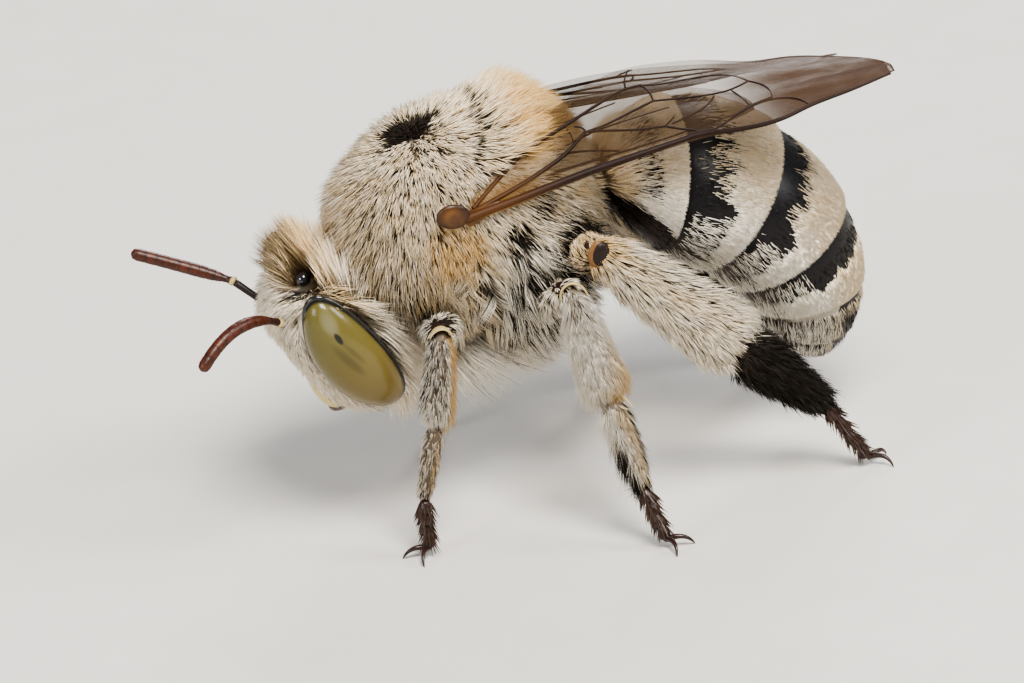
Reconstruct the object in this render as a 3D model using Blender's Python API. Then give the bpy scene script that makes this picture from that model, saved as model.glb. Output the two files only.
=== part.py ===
"""A female white-banded digger bee at life size, standing with its head low and its wings folded back.

Metres, +Z up. The head points along -X and the bee's left side is at -Y. Every solid has the outer
shape of its coat, out to the hair tips. The origin is on the floor, under the middle of the bee's box.
"""

import math
from collections import namedtuple

import bmesh
import bpy
from mathutils import Matrix, Vector

MM = 0.001
GAP = 0.05 * MM  # clearance between solids that meet
LEAST_THICKNESS = 0.5 * MM  # of wings, feelers and feet

AHEAD = Vector((1, 0, 0))  # along the bee, towards its tail
ACROSS = Vector((0, 1, 0))
UP = Vector((0, 0, 1))

# Faces round each solid.
BODY_SIDES = 24
HEAD_SIDES = 20
LIMB_SIDES = 10
SLIM_SIDES = 8  # thighs, feelers, feet and wings
CLAW_SIDES = 6

# Places in millimetres: x towards the tail, y towards the bee's right side, z above the floor.
THORAX_CENTRE = (-0.51, 0.0, 6.17)
THORAX_HALF = (2.87, 2.5, 2.58)
THORAX_FULLNESS = 2.25  # 2 would be an ellipse; more is squarer
SCUTELLUM_RISE = 0.22  # the hump over the wings' roots
SCUTELLUM_SHARE = 0.72  # of the thorax's length, from its front
SCUTELLUM_SPREAD = 0.16  # half the hump's length, as a share of the thorax's
BREAST_CENTRE = (-0.7, 0.0, 4.15)  # the long fringe between the front and middle legs
BREAST_HALF = (1.25, 1.75, 1.25)
HEAD_CENTRE = (-3.5, 0.0, 4.24)
HEAD_NOD = math.radians(30)  # how far the mouth is tucked under, from an upright face
HEAD_HALF = (1.15, 2.02, 1.7)  # front to back, across, and top to bottom
HEAD_FULLNESS = 3.2
MOUTH_WIDTH_SHARE = 0.8  # of the head's width
JAW_NARROWING = 0.6  # share of the head's height, from below, over which it narrows to the mouth
HEAD_SHIFT = Vector((-0.1, 0.0, -0.08))  # of its outline from the eyes' line
CREST_HALF = (0.5, 0.95, 1.05)  # the tuft of long hair that stands on the crown
CREST_PLACE = (-0.52, 0.0, 1.86)  # in the head: forward, outward and up from its centre
CREST_LEAN = math.radians(20)
WAIST = (2.25, 0.0, 6.24)

# The abdomen's centre line is an arc that starts at the waist and curls down towards the tail.
ABDOMEN_LENGTH = 7.32
ABDOMEN_START_DIP = math.radians(-5.3)
ABDOMEN_CURL = math.radians(109)
ABDOMEN_HALF_WIDTH = 2.2
ABDOMEN_HALF_HEIGHT = 1.81
SEGMENT_ENDS = (0.0, 0.195, 0.415, 0.62, 0.805, 0.92, 1.0)  # shares of the length, from waist to tail
SEGMENT_FLARE = (0.985, 1.015)  # of each segment's width, at its front and at its lip
WAIST_FULLNESS = 0.3  # share of the full width where the abdomen starts
ABDOMEN_FULLEST = 0.28  # share of the length after which it tapers

EYE_HALF = (0.69, 0.5, 1.55)
EYE_PLACE = (0.06, 1.75, 0.16)
EYE_SPLAY = math.radians(16)  # how far each eye is turned to look forward
OCELLUS_RADIUS = 0.19
OCELLI = {"left": (-0.13, -0.45, 1.56), "right": (-0.13, 0.45, 1.56), "middle": (0.22, 0.0, 1.56)}
MANDIBLE_ROOT = (0.5, 0.95, -1.52)
MANDIBLE_TIP = (1.08, 0.2, -1.5)
MANDIBLE_WIDTHS = (0.55, 0.36)

# Each feeler's socket, its elbow, the point its outer part bends towards, and its tip.
Antenna = namedtuple("Antenna", "socket elbow bend tip")
ANTENNAE = {
    "left": Antenna((-4.6, -0.6, 4.6), (-4.85, -1.05, 5.02), (-5.85, -1.72, 5.8), (-6.77, -2.1, 4.79)),
    "right": Antenna((-4.85, 0.6, 4.85), (-5.32, 1.0, 5.24), (-5.93, 1.42, 5.46), (-7.21, 1.75, 5.99)),
}
FLAGELLUM_JOINTS = 8

Leg = namedtuple("Leg", "hip knee ankle heel toe tibia_widths heel_widths flatness")
LEGS = {
    "front": Leg(
        hip=(-1.5, -0.9, 4.2),
        knee=(-1.9, -2.75, 4.85),
        ankle=(-2.28, -2.85, 2.9),
        heel=(-2.7, -2.85, 1.3),
        toe=(-2.72, -2.86, 0.2),
        tibia_widths=(0.62, 0.95),
        heel_widths=(0.62, 0.5),
        flatness=0.8,
    ),
    "middle": Leg(
        hip=(0.3, -1.0, 4.1),
        knee=(0.82, -3.0, 5.3),
        ankle=(1.15, -3.9, 3.15),
        heel=(1.5, -4.5, 1.3),
        toe=(1.78, -4.82, 0.2),
        tibia_widths=(0.6, 1.5),
        heel_widths=(0.9, 0.5),
        flatness=0.7,
    ),
    "hind": Leg(
        hip=(1.5, -1.1, 4.5),
        knee=(1.37, -2.75, 6.08),
        ankle=(4.15, -3.0, 3.3),
        heel=(5.85, -3.0, 1.58),
        toe=(6.6, -3.05, 0.2),
        tibia_widths=(0.75, 2.0),
        heel_widths=(1.5, 0.7),
        flatness=0.6,
    ),
}
# The right feet stand further back than the left ones, and closer in. The bends above them follow in part.
RIGHT_STEP = {"front": Vector((1.65, 0, 0)), "middle": Vector((0.9, -1.2, 0)), "hind": Vector((0, 0, 0))}
STEP_SHARES = (0.0, 0.3, 0.65, 1.0, 1.0)  # at hip, knee, ankle, heel and toe
FEMUR_WIDTHS = (0.8, 0.75)
FEMUR_FLATNESS = 0.85
LEG_BROAD = Vector((1, 0, 0.6))  # the direction in which a flattened shin is broad
TARSUS_BEADS = 4
CLAW_LENGTH = 0.55

FOREWING_LENGTH = 9.15
FOREWING_CHORD = 2.75
WING_WIDEST = 0.5  # share of the length where the chord is full
WING_ROOT_CHORD = 0.16  # share of the full chord at the root
WING_TIP_TURN = 0.85  # share of the length past which the front edge turns in
HINDWING_SHARE = 0.68  # of the forewing's length and chord
HINDWING_INSET = 0.75  # how far in from the forewing's front edge the hindwing's lies
WING_ROOT = (-0.9, -2.42, 6.95)
# The chord of a folded wing slopes up to the midline, less so towards the tip: it is twisted.
Wing = namedtuple("Wing", "rise spread root_slope tip_slope")  # spread: how far the front edge opens out
WINGS = {
    "left": Wing(rise=10.2, spread=5.0, root_slope=36.0, tip_slope=-4.0),
    "right": Wing(rise=-1.8, spread=3.0, root_slope=42.0, tip_slope=22.0),
}
TEGULA_HALF = (0.34, 0.2, 0.3)
TEGULA_PLACE = (-1.3, -2.45, 7.1)


def place(x, y, z):
    """A point given in millimetres."""
    return Vector((x, y, z)) * MM


def mirrored(point, side):
    """The same place on the bee's left (-1) or right (+1) side, from one given for the left."""
    return Vector((point[0], -side * point[1], point[2])) * MM


def clear_scene():
    for old in list(bpy.data.objects):
        bpy.data.objects.remove(old)


def material(name, colour, roughness, metallic=0.0):
    made = bpy.data.materials.new(name)
    made.use_nodes = True
    shader = made.node_tree.nodes["Principled BSDF"]
    shader.inputs["Base Color"].default_value = (*colour, 1.0)
    shader.inputs["Roughness"].default_value = roughness
    shader.inputs["Metallic"].default_value = metallic
    return made


def new_object(name, mesh, finish, root):
    mesh.materials.append(finish)
    made = bpy.data.objects.new(name, mesh)
    bpy.context.scene.collection.objects.link(made)
    made.parent = root
    return made


def finish_mesh(name, shape):
    """Turns a bmesh into a smooth-shaded mesh whose faces point outwards."""
    bmesh.ops.recalc_face_normals(shape, faces=shape.faces)
    if shape.calc_volume(signed=True) < 0:
        bmesh.ops.reverse_faces(shape, faces=shape.faces)
    mesh = bpy.data.meshes.new(name)
    shape.to_mesh(mesh)
    shape.free()
    mesh.shade_smooth()
    return mesh


def ring(centre, side, up, half_side, half_up, sides):
    """Points of an ellipse about centre, in the plane of side and up."""
    turns = [2 * math.pi * k / sides for k in range(sides)]
    return [centre + side * (half_side * math.cos(a)) + up * (half_up * math.sin(a)) for a in turns]


def skin_rings(shape, rings, first_pole, last_pole):
    """Joins rings of equal count into a closed skin, with a fan to a pole at each end."""
    rows = [[shape.verts.new(p) for p in points] for points in rings]
    count = len(rows[0])
    for row, beyond in zip(rows, rows[1:]):
        for k in range(count):
            shape.faces.new((row[k], row[(k + 1) % count], beyond[(k + 1) % count], beyond[k]))
    for row, pole in ((rows[0], first_pole), (rows[-1], last_pole)):
        tip = shape.verts.new(pole)
        for k in range(count):
            shape.faces.new((row[k], row[(k + 1) % count], tip))


def rounded(t, start, end):
    """A profile that swells from nothing over the share start, stays at 1, and closes over the share end."""
    if t < start:
        return math.sqrt(max(0.0, 1 - ((start - t) / start) ** 2))
    if t > 1 - end:
        return math.sqrt(max(0.0, 1 - ((t - 1 + end) / end) ** 2))
    return 1.0


def stations(count):
    """Shares of a length, closer together near the ends, without the ends themselves."""
    return [(1 - math.cos(math.pi * k / (count + 1))) / 2 for k in range(1, count + 1)]


def limb_shape(start, end, widths, flatness, side, count=6, round_share=0.16, sides=LIMB_SIDES):
    """A straight limb from start to end with round ends. Its width goes from widths[0] to widths[1]."""
    shape = bmesh.new()
    along = (end - start).normalized()
    broad = (side - along * side.dot(along)).normalized()
    thin = along.cross(broad)
    rings = []
    for t in stations(count):
        swell = rounded(t, round_share, round_share)
        half = (widths[0] + (widths[1] - widths[0]) * t) / 2 * swell * MM
        rings.append(ring(start.lerp(end, t), broad, thin, half, half * flatness, sides))
    skin_rings(shape, rings, start, end)
    return shape


def ellipsoid(halves, rings=8, sides=14):
    """An ellipsoid about the origin, with its poles up and down."""
    shape = bmesh.new()
    rows = []
    for k in range(1, rings + 1):
        polar = math.pi * k / (rings + 1)
        centre = Vector((0, 0, math.cos(polar) * halves[2])) * MM
        wide = math.sin(polar) * MM
        rows.append(ring(centre, AHEAD, ACROSS, halves[0] * wide, halves[1] * wide, sides))
    top = Vector((0, 0, halves[2])) * MM
    skin_rings(shape, rows, top, -top)
    return shape


def helper(name, mesh, root):
    """An object that only shapes others: it isn't rendered, and so it isn't a part."""
    made = bpy.data.objects.new(name, mesh)
    bpy.context.scene.collection.objects.link(made)
    made.parent = root
    made.hide_render = True
    made.display_type = "WIRE"
    return made


def boolean(body, other, operation):
    step = body.modifiers.new(other.name, "BOOLEAN")
    step.operation = operation
    step.solver = "EXACT"
    step.object = other


def make_room(body, neighbour):
    """Cuts body back to a clearance round neighbour, where they would overlap."""
    cutter = helper(f"{body.name}_clears_{neighbour.name}", neighbour.data, neighbour.parent)
    cutter.matrix_basis = neighbour.matrix_basis.copy()
    grown = cutter.modifiers.new("grown", "DISPLACE")
    grown.mid_level = 0.0
    grown.strength = GAP
    boolean(body, cutter, "DIFFERENCE")


def make_thorax(finish, root):
    """A deep, round thorax, a little longer behind, with the scutellum's hump at its upper rear."""
    shape = bmesh.new()
    half_x, half_y, half_z = (h * MM for h in THORAX_HALF)
    rings = []
    for t in stations(12):
        x = (2 * t - 1) * half_x
        swell = (1 - abs(2 * t - 1) ** THORAX_FULLNESS) ** 0.5
        hump = SCUTELLUM_RISE * MM * math.exp(-(((t - SCUTELLUM_SHARE) / SCUTELLUM_SPREAD) ** 2))
        centre = Vector((x, 0, hump / 2))
        rings.append(ring(centre, ACROSS, UP, half_y * swell, half_z * swell + hump / 2, BODY_SIDES))
    skin_rings(shape, rings, Vector((-half_x, 0, 0)), Vector((half_x, 0, 0)))
    thorax = new_object("thorax", finish_mesh("thorax", shape), finish, root)
    thorax.location = place(*THORAX_CENTRE)
    breast = helper("breast", finish_mesh("breast", ellipsoid(BREAST_HALF, 7, 12)), root)
    breast.location = place(*BREAST_CENTRE)
    boolean(thorax, breast, "UNION")
    return thorax


def make_head(finish, root):
    """A wide head with a flat face, narrower towards the mouth, and a crest of hair on its crown."""
    shape = bmesh.new()
    depth, across, tall = (h * MM for h in HEAD_HALF)
    rings = []
    for t in stations(10):
        up = (2 * t - 1) * tall
        swell = (1 - abs(2 * t - 1) ** HEAD_FULLNESS) ** 0.5
        taper = MOUTH_WIDTH_SHARE + (1 - MOUTH_WIDTH_SHARE) * min(1.0, t / JAW_NARROWING)
        centre = HEAD_SHIFT * MM + Vector((0, 0, up))
        rings.append(ring(centre, AHEAD, ACROSS, depth * swell, across * swell * taper, HEAD_SIDES))
    skin_rings(shape, rings, HEAD_SHIFT * MM - Vector((0, 0, tall)), HEAD_SHIFT * MM + Vector((0, 0, tall)))
    head = new_object("head", finish_mesh("head", shape), finish, root)
    head.location = place(*HEAD_CENTRE)
    head.rotation_euler = (0, -HEAD_NOD, 0)
    crest = helper("crest", finish_mesh("crest", ellipsoid(CREST_HALF, 7, 12)), root)
    crest.location = in_head(head, *CREST_PLACE, 1)
    crest.rotation_euler = (0, -HEAD_NOD - CREST_LEAN, 0)
    boolean(head, crest, "UNION")
    return head, crest


def in_head(head, forward, outward, up, side):
    """A place in the head's own frame, in millimetres, on the left (-1) or right (+1)."""
    return Matrix.Translation(head.location) @ head.rotation_euler.to_matrix().to_4x4() @ Vector(
        (-forward * MM, side * outward * MM, up * MM)
    )


def make_eye(head, side_name, side, finish, root):
    eye = new_object(f"eye_{side_name}", finish_mesh("eye", ellipsoid(EYE_HALF)), finish, root)
    eye.location = in_head(head, *EYE_PLACE, side)
    splay = Matrix.Rotation(side * EYE_SPLAY, 3, "Z")
    eye.rotation_euler = (Matrix.Rotation(-HEAD_NOD, 3, "Y") @ splay).to_euler()
    make_room(head, eye)
    return eye


def make_ocelli(head, finish, root):
    """Three small simple eyes in a triangle on the crown."""
    for name, where in OCELLI.items():
        halves = (OCELLUS_RADIUS,) * 3
        dome = new_object(f"ocellus_{name}", finish_mesh("ocellus", ellipsoid(halves, 5, 8)), finish, root)
        dome.location = in_head(head, *where, 1)
        make_room(head, dome)


def bent_path(start, bend, end, count):
    """Points on a parabola from start to end that leans towards bend."""
    shares = [k / (count - 1) for k in range(count)]
    return [start * (1 - t) ** 2 + bend * (2 * t * (1 - t)) + end * t**2 for t in shares]


def make_antenna(head, side_name, feeler, shell, root):
    """A short scape up to the elbow, then the jointed flagellum, each joint a low bead."""
    socket, elbow, bend, tip = (Vector(p) * MM for p in feeler)
    width = LEAST_THICKNESS / MM
    stalk = limb_shape(socket, elbow, (width, width), 1.0, ACROSS, 4, 0.25, SLIM_SIDES)
    scape = new_object(f"scape_{side_name}", finish_mesh("scape", stalk), shell, root)
    make_room(scape, head)
    clear = (bend - elbow).normalized() * (LEAST_THICKNESS * 0.35)
    path = bent_path(elbow + clear, bend, tip, 2 * FLAGELLUM_JOINTS + 1)
    shape = bmesh.new()
    rings = []
    for k, centre in enumerate(path[1:-1], start=1):
        along = (path[k + 1] - path[k - 1]).normalized()
        side = along.cross(UP).normalized()
        bead = 1.04 if k % 2 else 0.98
        half = LEAST_THICKNESS / 2 * bead * rounded(k / (len(path) - 1), 0.1, 0.1)
        rings.append(ring(centre, side, along.cross(side), half, half, SLIM_SIDES))
    skin_rings(shape, rings, path[0], path[-1])
    flagellum = new_object(f"flagellum_{side_name}", finish_mesh("flagellum", shape), shell, root)
    make_room(flagellum, scape)
    make_room(flagellum, head)


def make_mandible(head, side_name, side, shell, root):
    """A short jaw folded across under the face."""
    root_end = in_head(head, *MANDIBLE_ROOT, side)
    tip = in_head(head, *MANDIBLE_TIP, side)
    shape = limb_shape(root_end, tip, MANDIBLE_WIDTHS, 0.9, UP, 5, 0.2, SLIM_SIDES)
    jaw = new_object(f"mandible_{side_name}", finish_mesh("mandible", shape), shell, root)
    make_room(jaw, head)
    return jaw


def abdomen_axis(t):
    """The place and direction of the abdomen's centre line at share t of its length."""
    steps = 40
    point = place(*WAIST)
    for k in range(steps):
        dip = ABDOMEN_START_DIP + ABDOMEN_CURL * (k + 0.5) / steps * t
        point = point + Vector((math.cos(dip), 0, -math.sin(dip))) * (ABDOMEN_LENGTH * t / steps * MM)
    dip = ABDOMEN_START_DIP + ABDOMEN_CURL * t
    return point, Vector((math.cos(dip), 0, -math.sin(dip)))


def abdomen_swell(t):
    """How full the abdomen is at share t: narrow at the waist, fullest at a third, pointed at the tail."""
    shoulder = math.sin(min(1.0, t / 0.3) * math.pi / 2) ** 0.8
    front = WAIST_FULLNESS + (1 - WAIST_FULLNESS) * shoulder
    beyond = max(0.0, t - ABDOMEN_FULLEST) / (1.02 - ABDOMEN_FULLEST)
    return front * math.sqrt(max(0.0, 1 - beyond**2.2))


def make_abdomen(finish, root):
    """Six ringed segments, each with a lip at its rear edge that stands over the next one."""
    segments = []
    for number, (begin, end) in enumerate(zip(SEGMENT_ENDS, SEGMENT_ENDS[1:]), start=1):
        shape = bmesh.new()
        rings = []
        gap_share = GAP / MM / ABDOMEN_LENGTH
        begin = begin + (gap_share if number > 1 else 0.0)
        for k in range(4):
            t = begin + (end - begin) * k / 3
            lip = SEGMENT_FLARE[0] + (SEGMENT_FLARE[1] - SEGMENT_FLARE[0]) * k / 3
            centre, along = abdomen_axis(t)
            full = abdomen_swell(min(t, 0.995)) * lip * MM
            wide, high = ABDOMEN_HALF_WIDTH * full, ABDOMEN_HALF_HEIGHT * full
            rings.append(ring(centre, ACROSS, along.cross(ACROSS), wide, high, BODY_SIDES))
        skin_rings(shape, rings, abdomen_axis(begin)[0], abdomen_axis(end)[0])
        name = f"abdomen_{number}"
        segments.append(new_object(name, finish_mesh(name, shape), finish, root))
    return segments


def foot_shape(heel, toe):
    """The beads of the foot, from the heel segment down to the toe."""
    shape = bmesh.new()
    along = (toe - heel).normalized()
    across = along.cross(UP).normalized()
    thin = along.cross(across)
    rings = []
    count = 2 * TARSUS_BEADS + 1
    for k in range(1, count):
        t = k / count
        bead = 1.0 if k % 2 else 0.86
        half = LEAST_THICKNESS / 2 * bead * rounded(t, 0.12, 0.12)
        rings.append(ring(heel.lerp(toe, t), across, thin, half, half, SLIM_SIDES))
    skin_rings(shape, rings, heel, toe)
    return shape


def claw_shape(toe, ahead, out):
    """One claw: a horn that leaves the toe outwards and curves down to the floor."""
    shape = bmesh.new()
    start = toe
    reach = CLAW_LENGTH * MM
    end = toe + ahead * reach * 0.75 + out * reach * 0.7
    end.z = 0.08 * MM
    bend = (start + end) / 2 + out * reach * 0.25 + Vector((0, 0, reach * 0.35))
    path = bent_path(start, bend, end, 5)
    rings = []
    for k in range(1, 4):
        along = (path[k + 1] - path[k - 1]).normalized()
        across = along.cross(UP).normalized()
        half = LEAST_THICKNESS / 2 * (1.0 - 0.45 * k / 4)
        rings.append(ring(path[k], across, along.cross(across), half, half, CLAW_SIDES))
    skin_rings(shape, rings, path[0], path[-1])
    return shape


def floor_slab(root):
    """A block whose top is the floor, for cutting flat soles."""
    shape = bmesh.new()
    size = 30 * MM
    bmesh.ops.create_cube(shape, size=size, matrix=Matrix.Translation((0, 0, -size / 2)))
    return helper("floor_slab", finish_mesh("floor_slab", shape), root)


def make_foot(name, heel, toe, slab, finish, root):
    """The last small joints of the foot with its pair of claws, joined to one body with flat soles."""
    foot = new_object(name, finish_mesh(name, foot_shape(heel, toe)), finish, root)
    ahead = Vector((toe.x - heel.x, toe.y - heel.y, 0)).normalized()
    spread = Vector((-ahead.y, ahead.x, 0))
    for which, out in (("left", spread), ("right", -spread)):
        claw = helper(f"{name}_{which}_claw", finish_mesh("claw", claw_shape(toe, ahead, out)), root)
        boolean(foot, claw, "UNION")
    boolean(foot, slab, "DIFFERENCE")
    return foot


def make_leg(which, side_name, side, neighbours, slab, finishes, root):
    """Thigh, shin, heel segment and clawed foot, each its own piece, meeting at round joints."""
    leg = LEGS[which]
    joints = [mirrored(p, side) for p in (leg.hip, leg.knee, leg.ankle, leg.heel, leg.toe)]
    if side > 0:
        joints = [p + RIGHT_STEP[which] * (share * MM) for p, share in zip(joints, STEP_SHARES)]
    hip, knee, ankle, heel, toe = joints
    name = f"{which}_{side_name}"

    def segment(part, start, end, widths, flatness, finish, sides=LIMB_SIDES):
        shape = limb_shape(start, end, widths, flatness, LEG_BROAD, sides=sides)
        return new_object(f"{part}_{name}", finish_mesh(part, shape), finish, root)

    femur = segment("femur", hip, knee, FEMUR_WIDTHS, FEMUR_FLATNESS, finishes["coat"], SLIM_SIDES)
    tibia = segment("tibia", knee, ankle, leg.tibia_widths, leg.flatness, finishes["coat"])
    basitarsus = segment("basitarsus", ankle, heel, leg.heel_widths, leg.flatness, finishes["dark"])
    foot = make_foot(f"foot_{name}", heel, toe, slab, finishes["dark"], root)
    for neighbour in neighbours:
        make_room(femur, neighbour)
    make_room(femur, tibia)
    make_room(basitarsus, tibia)
    make_room(foot, basitarsus)
    return femur, tibia, basitarsus, foot


def wing_width(share):
    """The wing's chord at a share of its length, as a share of its widest chord."""
    if share < WING_WIDEST:
        return WING_ROOT_CHORD + (1 - WING_ROOT_CHORD) * math.sin(share / WING_WIDEST * math.pi / 2) ** 1.2
    return math.sqrt(max(0.0, 1 - ((share - WING_WIDEST) / (1 - WING_WIDEST)) ** 2.4))


def wing_front(share):
    """How far the front edge has turned in towards the tip, as a share of the widest chord."""
    return 0.1 * (max(0.0, share - WING_TIP_TURN) / (1 - WING_TIP_TURN)) ** 2


def wing_shape(share, below, inset, side, pose):
    """A thin twisted blade along +X, share times the forewing's size, with its chord towards the midline.

    The forewing's front edge is the X axis. The blade lies the given depths below and inside it.
    """
    shape = bmesh.new()
    length = FOREWING_LENGTH * share * MM
    chord = FOREWING_CHORD * share * MM
    corner = 4.0  # how square the blade's section is
    count = 11

    def section(along):
        """The place on the front edge, the chord's direction and the blade's normal."""
        slope = math.radians(pose.root_slope + (pose.tip_slope - pose.root_slope) * along * share)
        inward = Vector((0, -side * math.cos(slope), math.sin(slope)))
        upward = Vector((0, side * math.sin(slope), math.cos(slope)))
        return Vector((along * length, 0, 0)) + inward * inset - upward * below, inward, upward

    rings = []
    for k in range(1, count + 1):
        along = k / (count + 0.6)
        edge, inward, upward = section(along)
        width = chord * wing_width(along)
        middle = edge + inward * (chord * wing_front(along) + width / 2)
        points = []
        for j in range(SLIM_SIDES):
            turn = 2 * math.pi * (j + 0.5) / SLIM_SIDES
            c, s = math.cos(turn), math.sin(turn)
            across = math.copysign(abs(c) ** (2 / corner), c) * width / 2
            thick = math.copysign(abs(s) ** (2 / corner), s) * LEAST_THICKNESS / 2
            points.append(middle + inward * across + upward * thick)
        rings.append(points)
    root_edge, root_inward, _ = section(0.0)
    tip_edge, tip_inward, _ = section(1.0)
    skin_rings(shape, rings, root_edge + root_inward * (chord * 0.08), tip_edge + tip_inward * (chord * 0.12))
    return shape


def make_wing(name, side_name, side, share, below, inset, finish, root):
    pose = WINGS[side_name]
    wing = new_object(name, finish_mesh(name, wing_shape(share, below, inset, side, pose)), finish, root)
    wing.location = mirrored(WING_ROOT, side)
    spread = Matrix.Rotation(side * math.radians(pose.spread), 3, "Z")
    wing.rotation_euler = (spread @ Matrix.Rotation(-math.radians(pose.rise), 3, "Y")).to_euler()
    return wing


def make_wings(side_name, side, thorax, tegula, segments, finish, root):
    """The forewing with the smaller hindwing folded under it. The abdomen's coat gives way under them."""
    fore = make_wing(f"forewing_{side_name}", side_name, side, 1.0, 0.0, 0.0, finish, root)
    below = LEAST_THICKNESS + 1.5 * GAP
    hind = make_wing(
        f"hindwing_{side_name}", side_name, side, HINDWING_SHARE, below, HINDWING_INSET * MM, finish, root
    )
    for wing in (fore, hind):
        make_room(wing, thorax)
        make_room(wing, tegula)
        for segment in segments[:3]:
            make_room(segment, wing)


def make_tegula(thorax, side_name, side, finish, root):
    """The small polished scale over the wing's root."""
    scale = finish_mesh("tegula", ellipsoid(TEGULA_HALF, 5, 10))
    tegula = new_object(f"tegula_{side_name}", scale, finish, root)
    tegula.location = mirrored(TEGULA_PLACE, side)
    make_room(thorax, tegula)
    return tegula


def centre_over_origin(root):
    """Moves the whole bee so that the middle of its box is over the origin."""
    bpy.context.view_layer.update()
    graph = bpy.context.evaluated_depsgraph_get()
    corners = []
    for part in bpy.context.scene.objects:
        if part.type == "MESH" and not part.hide_render:
            seen = part.evaluated_get(graph)
            mesh = seen.to_mesh()
            corners += [seen.matrix_world @ v.co for v in mesh.vertices]
            seen.to_mesh_clear()
    low = [min(c[axis] for c in corners) for axis in range(3)]
    high = [max(c[axis] for c in corners) for axis in range(3)]
    root.location = (-(low[0] + high[0]) / 2, -(low[1] + high[1]) / 2, -low[2])


def main():
    clear_scene()
    root = bpy.data.objects.new("bee", None)
    bpy.context.scene.collection.objects.link(root)
    coat = material("white_coat", (0.78, 0.72, 0.62), 0.8)
    finishes = {
        "coat": coat,
        "dark": material("dark_coat", (0.03, 0.025, 0.02), 0.6),
        "shell": material("brown_shell", (0.16, 0.05, 0.03), 0.35),
        "eye": material("eye_lens", (0.55, 0.55, 0.32), 0.2),
        "bead": material("black_bead", (0.01, 0.01, 0.012), 0.1),
        "wing": material("wing_membrane", (0.35, 0.27, 0.18), 0.25),
    }
    thorax = make_thorax(coat, root)
    head, crest = make_head(coat, root)
    make_room(thorax, head)
    make_room(thorax, crest)
    slab = floor_slab(root)
    segments = make_abdomen(coat, root)
    make_room(segments[0], thorax)
    make_ocelli(head, finishes["bead"], root)
    for side_name, side in (("left", -1), ("right", 1)):
        make_eye(head, side_name, side, finishes["eye"], root)
        make_antenna(head, side_name, ANTENNAE[side_name], finishes["shell"], root)
        make_mandible(head, side_name, side, finishes["shell"], root)
        tegula = make_tegula(thorax, side_name, side, finishes["shell"], root)
        for which in LEGS:
            make_leg(which, side_name, side, [thorax, *segments[:2]], slab, finishes, root)
        make_wings(side_name, side, thorax, tegula, segments, finishes["wing"], root)
    centre_over_origin(root)


main()
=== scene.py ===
# %% [markdown]
# # A white-banded digger bee, life size
# A digger bee is a furry insect 12 to 13 mm long. It has a hard dark shell, a dense coat of pale and black
# hairs, big olive eyes and smoky glass-like wings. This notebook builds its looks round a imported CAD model:
# the CAD gives every size and place, and each piece made here stands for one or more of its solids.
# Everything is worked out in the bee's own millimetres, and moved to the model's metres at the last step.

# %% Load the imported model
import math

import bmesh
import bpy
import numpy as np
from mathutils import Matrix, Vector
from mathutils.bvhtree import BVHTree
from mathutils.kdtree import KDTree


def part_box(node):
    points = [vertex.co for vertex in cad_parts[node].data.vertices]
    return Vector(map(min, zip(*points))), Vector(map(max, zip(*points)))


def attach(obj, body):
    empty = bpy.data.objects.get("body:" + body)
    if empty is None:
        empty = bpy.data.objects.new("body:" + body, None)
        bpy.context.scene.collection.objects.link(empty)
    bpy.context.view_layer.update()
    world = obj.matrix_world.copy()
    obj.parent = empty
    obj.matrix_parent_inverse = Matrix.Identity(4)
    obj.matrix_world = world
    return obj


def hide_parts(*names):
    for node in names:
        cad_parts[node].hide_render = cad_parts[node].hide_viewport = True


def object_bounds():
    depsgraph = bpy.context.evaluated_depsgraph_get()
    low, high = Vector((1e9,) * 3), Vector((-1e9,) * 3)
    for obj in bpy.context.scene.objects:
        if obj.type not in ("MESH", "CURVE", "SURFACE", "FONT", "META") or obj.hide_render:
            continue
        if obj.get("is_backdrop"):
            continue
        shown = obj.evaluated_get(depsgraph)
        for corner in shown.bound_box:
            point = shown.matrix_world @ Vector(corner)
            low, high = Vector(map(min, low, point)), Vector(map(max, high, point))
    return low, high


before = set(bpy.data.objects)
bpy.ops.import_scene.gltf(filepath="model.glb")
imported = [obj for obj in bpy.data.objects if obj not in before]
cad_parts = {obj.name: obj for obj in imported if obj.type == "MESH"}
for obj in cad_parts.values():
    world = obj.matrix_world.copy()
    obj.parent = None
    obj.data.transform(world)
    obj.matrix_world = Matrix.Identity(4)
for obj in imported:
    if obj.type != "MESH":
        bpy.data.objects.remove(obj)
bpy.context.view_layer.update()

# %% [markdown]
# ## The bee's own millimetres
# In this frame the head points along -X and the left side is at -Y. The head nods forward by 30 degrees, so
# its pieces are placed by how far forward, outward and up they are from its centre. One solid whose place
# is known, the middle ocellus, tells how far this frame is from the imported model's.

# %% Places in the head, and the way to the model's metres
MM = 0.001


def turn(degrees, axis):
    """A turn about an axis, as a 3 by 3 matrix."""
    return np.array(Matrix.Rotation(math.radians(degrees), 3, axis))


HEAD_CENTRE, HEAD_TURN = np.array([-3.5, 0.0, 4.24]), turn(-30, "Y")


def in_head(forward, outward, up, side=-1):
    """A place in the head, on the left (-1) or right (+1)."""
    local = np.stack(np.broadcast_arrays(-np.asarray(forward, float), side * np.asarray(outward, float), up), -1)
    return HEAD_CENTRE + local @ HEAD_TURN.T


def head_axes(points):
    """How far forward, rightward and up each point is from the head's centre."""
    local = (points - HEAD_CENTRE) @ HEAD_TURN
    return -local[:, 0], local[:, 1], local[:, 2]


def in_metres(points):
    """Places in the bee's millimetres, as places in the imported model."""
    return (points + SHIFT) * MM


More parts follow.
